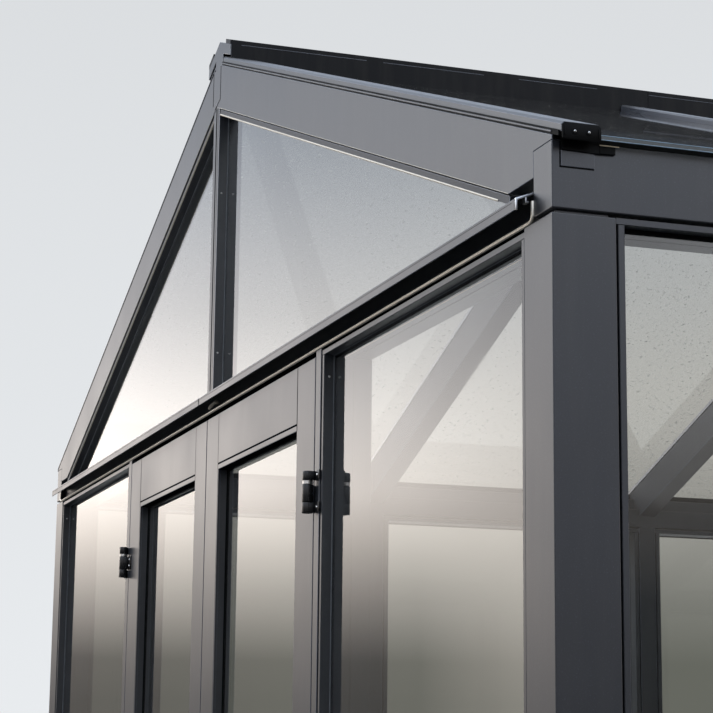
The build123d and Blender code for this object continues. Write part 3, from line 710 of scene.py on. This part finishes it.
class GREENHOUSE_OT_profiles(bpy.types.Operator):
    """Round the edges of the coated profiles"""
    bl_idname = "greenhouse.profiles"
    bl_label = "Coated profiles"

    nodes = (
        "base_sills", "corner_posts", "rear_wall_posts", "door_posts", "door_threshold", "front_tie_beam",
        "rear_tie_beam", "left_eave_beam", "right_eave_beam", "front_rake_boards", "rear_rake_boards",
        "ridge_beam", "ridge_end_plates", "left_rafters", "right_rafters", "left_wall_posts",
        "right_wall_posts", "gable_posts", "rake_beads", "drip_ledges", "left_door_stiles",
        "right_door_stiles", "left_door_rails", "right_door_rails",
    )
    round_nodes = ("corner_posts", "left_eave_beam", "right_eave_beam")

    def execute(self, context):
        radius = context.scene.greenhouse_sizes.edge_radius / MM
        for node in self.nodes:
            source = frame["nodes"][node]
            bm = bmesh.new()
            bm.from_mesh(source.data)
            bmesh.ops.remove_doubles(bm, verts=bm.verts, dist=1e-5)
            bmesh.ops.dissolve_limit(bm, angle_limit=math.radians(0.5), verts=bm.verts, edges=bm.edges)
            name = node + "_profile"
            # A duller coat on the rake beads is painted shade, and a paler coat on most eased edges is a
            # painted highlight
            coat = "coat_shaded" if node == "rake_beads" else "coat"
            piece = add_object(name, mesh_of(name, bm), coat + " coat_edge")
            if node in self.round_nodes:
                ease_edges(piece, 2.4 * radius, segments=4)
            else:
                ease_edges(piece, radius, edge_slot=1)
            seat(piece, FRAME, source["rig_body"])
            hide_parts(node)
        return {"FINISHED"}


class GREENHOUSE_OT_caps(bpy.types.Operator):
    """Draw the glazing caps with their four grooves, and painted highlights on their tops, flanks and edges
    """
    bl_idname = "greenhouse.caps"
    bl_label = "Glazing caps"

    def execute(self, context):
        # The section as (across, above the rafters)
        outline = [(-31, 7), (31, 7), (31, 17), (27, 21)]
        for middle in (9, 3.5, -3.5, -9):
            outline += [(middle + 0.8, 21), (middle + 0.8, 19.6), (middle - 0.8, 19.6), (middle - 0.8, 21)]
        outline += [(-27, 21), (-31, 17)]
        for node in ("left_glazing_caps", "right_glazing_caps"):
            bm = bmesh.new()
            for low, high in solid_boxes(node):
                side, near, far = reach(low, high)
                y = (low.y + high.y) / 2
                add_slope_bar(bm, side, [(y + a, o) for a, o in outline], near, far)
            piece = piece_from(node + "_profile", bm, "coat coat_edge coat_band", FRAME, 0.4)
            # Tops and flanks get a paler coat, a painted highlight
            for face in piece.data.polygons:
                x, y, z = face.center / MM
                rise = (z - roof_z(x)) * math.cos(PITCH)
                flank = abs(face.normal.y) > 0.9 and rise > 6 and abs(y) < GABLE_Y - 200
                if flank or (face.normal.z > 0.4 and rise > 17.5):
                    face.material_index = 2
            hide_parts(node)
        return {"FINISHED"}


class GREENHOUSE_OT_ledge_ends(bpy.types.Operator):
    """Fit the bare angles and hooks of the ledge ends, painted shade under the tie beams and painted
    highlights
    """
    bl_idname = "greenhouse.ledge_ends"
    bl_label = "Ledge ends and lip edges"

    # The angle and the hook as (behind the face, above the ledge), with where they begin and end along x
    angle = ([(14, 0.3), (-28, -15.7), (-28, -33), (-24.6, -33), (-24.6, -18.6), (14, -3.4)], 1851.0, 1854.6)
    hook = (
        [(-9.8, -11), (-12.4, -12), (-12.4, -21.5), (-6.4, -21.5), (-6.4, -18.6), (-9.8, -18.6)],
        1842.0, 1854.2,
    )
    # The painted highlights along the lip's turned end and under the ledge as (x, above the line or the
    # beam's foot)
    lip_end = ((1853.2, 30), (1853.2, 9), (1851.8, 5.2), (1848.6, 2), (1844, 0.4), (1838, 0))
    clip = ((14, 5), (30, 9.5), (50, 11.5), (72, 12), (80, 9))

    def execute(self, context):
        bm, seals, edges = bmesh.new(), bmesh.new(), []
        for end in ENDS:
            # A matt black strip under each tie beam is painted shade
            add_block(seals, (-1815, end * (GABLE_Y - 6), EAVE_Z - 6), (1815, end * (GABLE_Y - 95), EAVE_Z))
            for side in ENDS:
                for outline, x0, x1 in (self.angle, self.hook):
                    points = [(end * (GABLE_Y - v), LEDGE_Z + w) for v, w in outline]
                    add_prism(bm, points, side * x0, side * x1, along(0))
            # Bright lines along the tie lips are painted highlights
            line = [(-x, w) for x, w in self.lip_end] + [(x, w) for x, w in reversed(self.lip_end)]
            edges.append(([(x, end * (GABLE_Y + 0.4), EAVE_Z - 4.4 + w) for x, w in line], False))
        clip = [(x, -GABLE_Y - 2.6, EAVE_Z + w) for x, w in self.clip]
        piece_from("head_seals", seals, "shadow", PLASTIC)
        lay_beads("ledge_clip", [(clip, False)], 8, "edge_highlight_metal", FRAME, 8)
        piece_from("ledge_end_angles", bm, "aluminium", None, 0.3, smooth=30)
        lay_beads("tie_lip_edges", edges, 6, "lip_edge", FRAME, 8)
        return {"FINISHED"}


def set_finishes(chosen):
    """Puts a finish on the own slots of each CAD node."""
    for node, word in chosen.items():
        piece = frame["nodes"][node]
        if not piece.data.materials:
            piece.data.materials.append(finish(word))
        for slot in piece.material_slots:
            slot.material = finish(word)


class GREENHOUSE_OT_panes(bpy.types.Operator):
    """Give the panes their glass"""
    bl_idname = "greenhouse.panes"
    bl_label = "Glass"

    def execute(self, context):
        set_finishes({
            "gable_glass": "gable_glass", "gable_window_glass": "gable_glass",
            "left_door_glass": "gable_glass", "right_door_glass": "gable_glass",
            "left_window_glass": "side_glass", "right_window_glass": "side_glass",
            "left_roof_glass": "roof_glass_left", "right_roof_glass": "roof_glass_right",
        })
        return {"FINISHED"}


class GREENHOUSE_OT_windows(bpy.types.Operator):
    """Build the grooved frames of the fixed windows"""
    bl_idname = "greenhouse.windows"
    bl_label = "Window frames"

    bite, overrun = 4, 3.4
    bar, inner, back = 10, 14, 27

    def section(self, ease):
        """The bar's section as (across, behind the wall's face). The pane sits in it from 23 to 27, and a
        fine groove runs along the inner side."""
        return [
            (0, 2 + ease), (ease, 2), (10 - ease, 2), (10, 2 + ease), (10, 23), (4, 23), (4, 27), (14, 27),
            (14, 60), (12.4, 60), (12.4, 63), (14, 63), (14, 100 - ease), (14 - ease, 100), (ease, 100),
            (0, 100 - ease),
        ]

    def add_frame(self, bm, low, high, section, joint):
        """Bars round a pane. The level bars overrun the corners and the stiles stop with an open joint."""
        corners = pane_ring(low, high, self.bite)
        inward = way_in(low, high)
        for here, there in zip(corners, corners[1:] + corners[:1]):
            way = (there - here).normalized()
            across = inward.cross(way)
            first, second = [], []
            for a, d in section:
                stop = -self.overrun
                if abs(way.z) > 0.5:
                    stop = (self.bar if d < self.back else self.inner) + joint
                shift = across * a + inward * d
                first.append(bm.verts.new((here + shift + way * stop) * MM))
                second.append(bm.verts.new((there + shift - way * stop) * MM))
            bridge(bm, first, second)
            bm.faces.new(first)
            bm.faces.new(second)

    def execute(self, context):
        sizes = context.scene.greenhouse_sizes
        section = self.section(sizes.edge_radius / MM)
        for name in WINDOWS:
            bm = bmesh.new()
            for low, high in solid_boxes(name + "_glass"):
                self.add_frame(bm, low, high, section, sizes.bar_joint / MM)
            piece = piece_from(name + "_frames", bm, "coat", FRAME)
            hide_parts(name + "_stiles", name + "_rails")
        return {"FINISHED"}


class GREENHOUSE_OT_metalwork(bpy.types.Operator):
    """Finish the ridge cap with its strips and the seals on the eave beams"""
    bl_idname = "greenhouse.metalwork"
    bl_label = "Ridge cap and eave seals"

    def execute(self, context):
        set_finishes({"ridge_cap": "black_steel", "ridge_cap_strips": "black_steel", "eave_seals": "rubber"})
        return {"FINISHED"}


class GREENHOUSE_OT_rakes(bpy.types.Operator):
    """Lay the seals and trims along the rakes, the cover plates on the eave beams, and painted shadows and
    highlights
    """
    bl_idname = "greenhouse.rakes"
    bl_label = "Rake seals and eave plates"

    # Sections as (behind the gable's face, above the rafters)
    seal = ((2, 0.3), (2, 8.5), (4, 8.5), (4, 6.9), (11.6, 6.9), (11.6, 0.3))
    trim = ((0.4, 3.2), (0.4, 5.6), (2.6, 5.6), (2.6, 3.2))
    shade_strip = ((-0.3, -3), (-0.3, 0.3), (2, 0.3), (2, -3))
    beam_half = 34

    def execute(self, context):
        seals, trims, plates, plate_shadows, brackets, shades, strips = (bmesh.new() for _ in range(7))
        beads, boards, lines, pane_highlights = [], [], [], []
        # Black backings left bare beside and below each cover plate are a painted shadow
        # Blocks at each corner: from and to outside the wall, behind the gable and above the rake's foot
        blocks = (
            (seals, -4, 1.2, 2, 21, -6.7, 0.4), (plate_shadows, 0, 0.6, 12, 66, -47, -9),
            (plates, 0, 1.5, 14, 66, -44.8, -8.5), (brackets, 0, 4.5, 14, 73, -22, -3),
            (brackets, 0, 4.5, 73, 98, -22, -10.4))
        for side in ENDS:
            wall = side * WALL_X
            add_block(strips, (wall, 18 - GABLE_Y, RAKE_Z - 7.5),
                      (wall + side * 1.4, GABLE_Y - 18, RAKE_Z - 0.5))
            for end in ENDS:
                bars = [(seals, self.seal, WALL_X + 19), (trims, self.trim, WALL_X - 4)]
                # On one side only, a black strip along the top of the board is a painted shadow
                if side == end:
                    bars.append((shades, self.shade_strip, WALL_X))
                for bm, section, far in bars:
                    points = [(end * (GABLE_Y - v), o) for v, o in section]
                    add_slope_bar(bm, side, points, self.beam_half, far)
                for bm, x0, x1, v0, v1, z0, z1 in blocks:
                    add_block(bm, (wall + side * x0, end * (GABLE_Y - v0), RAKE_Z + z0),
                              (wall + side * x1, end * (GABLE_Y - v1), RAKE_Z + z1))
                line = [(wall + side * 4, end * (GABLE_Y - v), RAKE_Z - 9.6) for v in (73, 104)]
                lines.append((line, False))
        # Bright lines along the lower edges of the rake beads and boards are painted highlights
        for low, high in solid_boxes("rake_beads"):
            side, near, far = reach(low, high)
            end = 1 if low.y > 0 else -1
            for paths, offset, setback, x1 in ((beads, -114.4, 3.4, far - 45), (boards, -99.6, 0.2, far)):
                y = end * (GABLE_Y - setback)
                paths.append(([(side * x, y, roof_z(x, offset)) for x in (near + 1, x1)], False))
        # Light blue lines along the top and bottom of each roof pane's edge at the eaves are painted
        # highlights
        for node in ("left_roof_glass", "right_roof_glass"):
            for low, high in solid_boxes(node):
                side, near, far = reach(low, high)
                for offset in (1, 7):
                    z = roof_z(far, offset)
                    pane_highlights.append(([(side * far, low.y + 1, z), (side * far, high.y - 1, z)], False))
        piece_from("rake_seals", seals, "rubber", PLASTIC, 0.3)
        # The eased edges of the trims get a paler coat, a painted highlight
        piece_from("rake_trims", trims, "coat coat_edge", FRAME, 0.3)
        piece_from("rake_shadow_strips", shades, "shadow", PLASTIC)
        lay_beads("rake_bead_edges", beads, 4.2, "edge_highlight_metal", FRAME)
        lay_beads("rake_board_edges", boards, 1.0, "edge_highlight_metal", FRAME)
        piece_from("eave_strips", strips, "rubber", PLASTIC, 0.3)
        piece_from("corner_brackets", brackets, "plastic", PLASTIC, 0.8)
        lay_beads("bracket_sealant", lines, 1.6, "sealant")
        lay_beads("glass_arrises", pane_highlights, 1.3, "arris")
        piece_from("eave_plate_seals", plate_shadows, "rubber", PLASTIC, 0.2)
        # The eased edges of the cover plates get a paler coat, a painted highlight
        piece_from("eave_plates", plates, "coat coat_edge", FRAME, 0.4)
        return {"FINISHED"}


class GREENHOUSE_OT_plugs(bpy.types.Operator):
    """Mould the end plugs of the glazing caps, each with two screws"""
    bl_idname = "greenhouse.plugs"
    bl_label = "End plugs"

    outline = (
        (-28.5, -3), (28.5, -3), (30.4, -1), (30.4, 17),
        (26.5, 20.9), (-26.5, 20.9), (-30.4, 17), (-30.4, -1),
    )

    def execute(self, context):
        bm = bmesh.new()
        spots = []
        for low, high in solid_boxes("cap_end_plugs"):
            side, near, far = reach(low, high)
            y = (low.y + high.y) / 2
            half = (high.y - low.y) / 2
            face = far - 2
            add_slope_bar(bm, side, [(y + a, o) for a, o in self.outline], near, face)
            for way in ENDS:
                place = Vector((side * face, y + way * 11, roof_z(face, 9)))
                add_tube(bm, place, (side, 0, 0), [(-0.5, 5), (0.3, 5), (0.6, 4.6)], 16)
                spots.append((place + Vector((side * 0.6, 0, 0)), (side, 0, 0)))
                rib = y + way * (half - 4)
                add_block(bm, (side * (face - 0.1), rib - 1, roof_z(face, 2)),
                          (side * (face + 0.8), rib + 1, roof_z(face, 15)))
        piece = piece_from("end_plug_mouldings", bm, "plastic", PLASTIC, 0.5, smooth=40)
        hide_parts("cap_end_plugs")
        set_screws("end_plug_screws", spots, 4.2)
        return {"FINISHED"}


class GREENHOUSE_OT_gaskets(bpy.types.Operator):
    """Run rubber gaskets round the panes and pale sealant along their tops, and lay painted shade in the side
    panes
    """
    bl_idname = "greenhouse.gaskets"
    bl_label = "Gaskets and sealant"

    def execute(self, context):
        width = context.scene.greenhouse_sizes.gasket_width / MM
        sunk = 0.3 * width
        house, fronts, tops, window_shade_strips = [], [], [], bmesh.new()
        for name in WINDOWS:
            for low, high in solid_boxes(name + "_glass"):
                front = pane_ring(low, high, -6 - sunk, 23 - sunk)
                house.append((pane_ring(low, high, -10 - sunk, 27 + sunk), True))
                if name == "gable_window":
                    fronts.append((front, True))
                    line = pane_ring(low, high, -10.5, 44)
                    tops.append((sorted(line, key=lambda c: c.z)[2:], False))
                else:
                    house.append((front, True))
                    side = 1 if low.x > 0 else -1
                    # A black strip inside the top of each side pane is painted shade
                    add_block(window_shade_strips, (side * (WALL_X - 23), low.y + 6, high.z - 13.4),
                              (side * (WALL_X - 22.2), high.y - 6, high.z - 6))
        for end in ENDS:
            for side in ENDS:
                for depth, edge, rings in ((24 - sunk, 115.5, fronts), (28 + sunk, 102, house)):
                    x0, z0 = 26 + sunk, LEDGE_Z + sunk
                    tip = WALL_X - (z0 - RAKE_Z + (edge + sunk) / math.cos(PITCH)) / math.tan(PITCH)
                    corners = [(x0, z0), (tip, z0), (x0, roof_z(x0, -edge - sunk))]
                    rings.append(([(side * x, end * (GABLE_Y - depth), z) for x, z in corners], True))
        lay_beads("window_gaskets", house, width, "rubber", PLASTIC)
        lay_beads("gable_front_gaskets", fronts, 2.2, "grey_rubber", PLASTIC)
        lay_beads("window_sealant", tops, 1.4, "sealant")
        piece_from("side_window_tapes", window_shade_strips, "rubber", PLASTIC, 0.3)
        for body in LEAVES:
            low, high = solid_boxes(body + "_glass")[0]
            rings = [(pane_ring(low, high, -8 - sunk, depth), True) for depth in (24 - sunk, 28 + sunk)]
            lay_beads(body + "_gaskets", rings, width, "rubber", PLASTIC, body=body)
        return {"FINISHED"}


class GREENHOUSE_OT_joints(bpy.types.Operator):
    """Mark the joints of the posts, ledges and ridge cap, paint highlights on its sides and seal the gap of
    the doors
    """
    bl_idname = "greenhouse.joints"
    bl_label = "Joint lines and door seal"

    # Across the gap between the leaves: past the left leaf's edge, and behind the gable's face
    seal = ((4, 0.6), (1.2, 3.5), (3, 6), (1.2, 8.5), (3, 11))
    seam_places = (-1936, 0, 1936)
    folds, fold_pitch, fold_start = 17, 352, -2990

    def mark_house(self):
        """Draws the joints that belong to the house, and painted highlight dashes along the ridge cap."""
        bm, folds = bmesh.new(), []
        beam_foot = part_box("ridge_beam")[0].z / MM
        face, tip = GABLE_Y - 1, GABLE_Y + 28
        for end in ENDS:
            # Upright or level lines: the middle, half the width, from and to along y, from and to above
            lines = [
                (0, 4, face - 0.6, face + 0.15, LEDGE_Z + 1, roof_z(4, -103)),
                (-end * 16, 0.7, face - 0.6, face + 0.15, LEDGE_Z + 1, roof_z(16, -101)),
                (-end * 10.5, 3.2, tip - 1, tip + 0.1, LEDGE_Z - 32.5, LEDGE_Z - 16.8),
                (0, 1840, tip - 1, tip + 0.06, LEDGE_Z - 20.8, LEDGE_Z - 20),
            ]
            lines += [(x, 1.8, GABLE_Y - 0.6, GABLE_Y + 0.2, beam_foot, roof_z(x, -2)) for x in (-32.5, 32.5)]
            for x, half, y0, y1, z0, z1 in lines:
                add_block(bm, (x - half, end * y0, z0), (x + half, end * y1, z1))
            slant = [(end * x, z) for x, z in ((-33, 2941), (16, 2929), (16, 2926), (-33, 2938))]
            add_prism(bm, slant, end * (GABLE_Y - 0.6), end * (GABLE_Y + 0.2), along(1))
        for side in ENDS:
            # Dashes of a paler coat along the ridge cap's sides are painted highlights
            for i in range(self.folds):
                y = self.fold_start + self.fold_pitch * i
                z = roof_z(98, 52)
                folds.append(([(side * 98, y, z), (side * 98, y + 310 - 50 * (i % 3), z)], False))
            for y in self.seam_places:
                add_block(bm, (side * 97.5, y - 0.6, roof_z(98, 24)), (side * 98.15, y + 0.6, roof_z(98, 61)))
        lay_beads("ridge_cap_folds", folds, 1.3, "coat_edge", METAL)
        piece_from("joint_lines", bm, "shadow", PLASTIC)

    def mark_leaf(self, body):
        """Draws the joints of a leaf, a black liner under its top rail that is painted shade, and the bead at
        the side of its pane.
        """
        lines, beads = bmesh.new(), bmesh.new()
        rails = solid_boxes(body + "_rails")
        low, high = max(rails, key=lambda box: box[1].z)
        bottom = min(box[1].z for box in rails)
        face, behind = -GABLE_Y - 0.12, 1 - GABLE_Y
        left_half, right_half = (1.0, 1.8) if body == "right_door" else (1.8, 1.0)
        for x0, x1, z0, z1 in (
            (low.x - left_half, low.x + left_half, low.z, high.z),
            (high.x - right_half, high.x + right_half, low.z, high.z),
            (low.x, high.x, low.z + 10.8, low.z + 14.4),
            (low.x - 0.8, low.x + 0.8, bottom, low.z + 12),
        ):
            add_block(lines, (x0, face, z0), (x1, behind, z1))
        # A black liner under the top rail is painted shade in the reveal
        add_block(lines, (low.x + 0.3, 0.8 - GABLE_Y, low.z - 0.5),
                  (high.x - 0.3, 23.8 - GABLE_Y, low.z + 0.3))
        add_block(beads, (low.x, -GABLE_Y, bottom - 2), (low.x + 4.2, 6 - GABLE_Y, low.z + 2))
        piece_from(body + "_joint_lines", lines, "shadow", PLASTIC, body=body)
        # The bead's eased edges get a paler coat, a painted highlight
        piece_from(body + "_bead", beads, "coat coat_edge", FRAME, 0.5, body=body)

    def execute(self, context):
        self.mark_house()
        left = max(high.x for low, high in solid_boxes("left_door_stiles"))
        stiles = solid_boxes("right_door_stiles")
        right = min(low.x for low, high in stiles)
        outline = [(right, 0.6), *[(left + x, v) for x, v in self.seal], (right, 11)]
        points = [(x, v - GABLE_Y) for x, v in outline]
        bm = bmesh.new()
        add_prism(bm, points, stiles[0][0].z + 2, stiles[0][1].z - 2, along(2))
        piece_from("door_meeting_seal", bm, "coat", PLASTIC, smooth=30, body="right_door")
        for body in LEAVES:
            self.mark_leaf(body)
        return {"FINISHED"}


class GREENHOUSE_OT_hinges(bpy.types.Operator):
    """Turn the hinge barrels and fold their plates"""
    bl_idname = "greenhouse.hinges"
    bl_label = "Hinges"

    radius, bore, ease = 10.5, 5.4, 0.8

    def execute(self, context):
        bodies = {"house": "frame_hinges", "left_door": "left_door_hinges", "right_door": "right_door_hinges"}
        made = {body: bmesh.new() for body in bodies}
        spots = {body: [] for body in bodies}
        rings = bmesh.new()
        face = -GABLE_Y
        for low, high in solid_boxes("frame_hinges"):
            side = 1 if low.x > 0 else -1
            x = low.x + self.radius if side > 0 else high.x - self.radius
            y = low.y + self.radius
            leaf = "right_door" if side > 0 else "left_door"
            add_tube(made["house"], (x, y, low.z + 1), (0, 0, 1), [(0, 5), (78, 5)], 24)
            knuckles = ((0, 20, "house", side), (20.5, 34, leaf, -side), (62, 18, "house", side))
            for z, height, body, way in knuckles:
                bm, foot, top = made[body], low.z + z, low.z + z + height
                turned = barrel(height, self.radius, self.bore, self.ease)
                add_tube(bm, (x, y, foot), (0, 0, 1), turned, 40, True)
                edge = x + way * 7.5
                add_block(bm, (edge, face - 3, foot), (edge + way * 27, face, top))
                add_block(bm, (edge, y, foot + 0.4), (edge + way * 3, face, top - 0.4))
                for up in ((0.26, 0.74) if body == leaf else (0.5,)):
                    spots[body].append(((edge + way * 17, face - 3, foot + up * height), (0, -1, 0)))
            add_tube(rings, (x, y, low.z + 54.9), (0, 0, 1), barrel(7, 10, 5.05, 0.5), 40, True)
        for body, node in bodies.items():
            piece = piece_from(body + "_hinge_parts", made[body], "hinge_black", METAL, 0.4, 35, body)
            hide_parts(node)
            set_screws(body + "_hinge_screws", spots[body], 5.5, body)
        piece_from("hinge_rings", rings, "stainless", smooth=35)
        return {"FINISHED"}


class GREENHOUSE_OT_handle(bpy.types.Operator):
    """Shape the lever handle on both faces of the right leaf"""
    bl_idname = "greenhouse.handle"
    bl_label = "Lever handle"

    # The neck as (out of the plate, radius), and the grip as (along it, up)
    neck = ((-1, 12), (2, 12), (4, 9), (39, 9), (40, 8))
    grip = ((-7, -9), (60, -8), (119, -9), (124.5, -5), (124.5, 5), (119, 9), (60, 8), (-7, 9))

    def execute(self, context):
        plates, levers, spots = bmesh.new(), bmesh.new(), []
        for low, high in solid_boxes("right_door_handle"):
            outward = -1 if low.y + high.y < -2 * (GABLE_Y - 20) else 1
            face = high.y if outward < 0 else low.y
            top = face + outward * 8
            way = (0, outward, 0)
            x = low.x + 17
            z = (low.z + high.z) / 2
            add_block(plates, (x - 17, face, low.z), (x + 17, top, high.z))
            add_tube(plates, (x, top, z - 62), way, [(-1, 9), (1.6, 9), (2.4, 8)], 24)
            add_tube(levers, (x, top, z), way, self.neck, 32)
            y0, y1 = sorted((face + outward * 36.3, face + outward * 47.7))
            add_prism(levers, [(x + a, z + b) for a, b in self.grip], y0, y1, along(1))
            spots += [((x, top, z + up), way) for up in (-84, 84)]
        plate = piece_from("handle_plates", plates, "hinge_black", METAL, 1, 35, "right_door")
        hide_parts("right_door_handle")
        piece_from("handle_levers", levers, "stainless", METAL, 1.6, 50, "right_door")
        set_screws("handle_screws", spots, 7, "right_door")
        return {"FINISHED"}


class GREENHOUSE_OT_screws(bpy.types.Operator):
    """Set the screws of the gable posts and the window frames"""
    bl_idname = "greenhouse.screws"
    bl_label = "Screws"

    from_corner, screws_per_bar = 42, 4

    def execute(self, context):
        spots = []
        for end in ENDS:
            for side in ENDS:
                spots += [((side * 26, end * (GABLE_Y - 10), LEDGE_Z + up), (side, 0, 0)) for up in (90, 470)]
        for name in WINDOWS:
            for low, high in solid_boxes(name + "_glass"):
                ring = sorted(pane_ring(low, high, -6, 13), key=lambda c: c.z)
                rise = (ring[3].z - ring[0].z - 2 * self.from_corner) / (self.screws_per_bar - 1)
                for corner, other in (ring[:2], ring[1::-1]):
                    way = (other - corner).normalized()
                    for i in range(self.screws_per_bar):
                        spots.append((corner + Vector((0, 0, self.from_corner + rise * i)), way))
        set_screws("frame_screws", spots, context.scene.greenhouse_sizes.screw_head / MM)
        return {"FINISHED"}


OPERATORS = (
    GREENHOUSE_OT_stage,
    GREENHOUSE_OT_profiles,
    GREENHOUSE_OT_caps,
    GREENHOUSE_OT_ledge_ends,
    GREENHOUSE_OT_panes,
    GREENHOUSE_OT_windows,
    GREENHOUSE_OT_metalwork,
    GREENHOUSE_OT_rakes,
    GREENHOUSE_OT_plugs,
    GREENHOUSE_OT_gaskets,
    GREENHOUSE_OT_joints,
    GREENHOUSE_OT_hinges,
    GREENHOUSE_OT_handle,
    GREENHOUSE_OT_screws,
)


class GREENHOUSE_PT_panel(bpy.types.Panel):
    """Lists the pieces of the greenhouse and their settings"""
    bl_idname = "GREENHOUSE_PT_panel"
    bl_label = "Greenhouse"
    bl_space_type = "VIEW_3D"
    bl_region_type = "UI"
    bl_category = "Greenhouse"

    def draw(self, context):
        layout = self.layout
        for group in (context.scene.greenhouse_sizes, context.scene.greenhouse_colours):
            for key in group.bl_rna.properties.keys():
                if key not in ("rna_type", "name"):
                    layout.prop(group, key)
        for operator in OPERATORS:
            layout.operator(operator.bl_idname)


CLASSES = (GreenhouseSizes, GreenhouseColours, *OPERATORS, GREENHOUSE_PT_panel)


def register():
    for item in CLASSES:
        bpy.utils.register_class(item)
    bpy.types.Scene.greenhouse_sizes = bpy.props.PointerProperty(type=GreenhouseSizes)
    bpy.types.Scene.greenhouse_colours = bpy.props.PointerProperty(type=GreenhouseColours)


def unregister():
    del bpy.types.Scene.greenhouse_colours
    del bpy.types.Scene.greenhouse_sizes
    for item in reversed(CLASSES):
        bpy.utils.unregister_class(item)


def main():
    register()
    for operator in OPERATORS:
        group, name = operator.bl_idname.split(".")
        getattr(getattr(bpy.ops, group), name)()


if __name__ == "__main__":
    main()
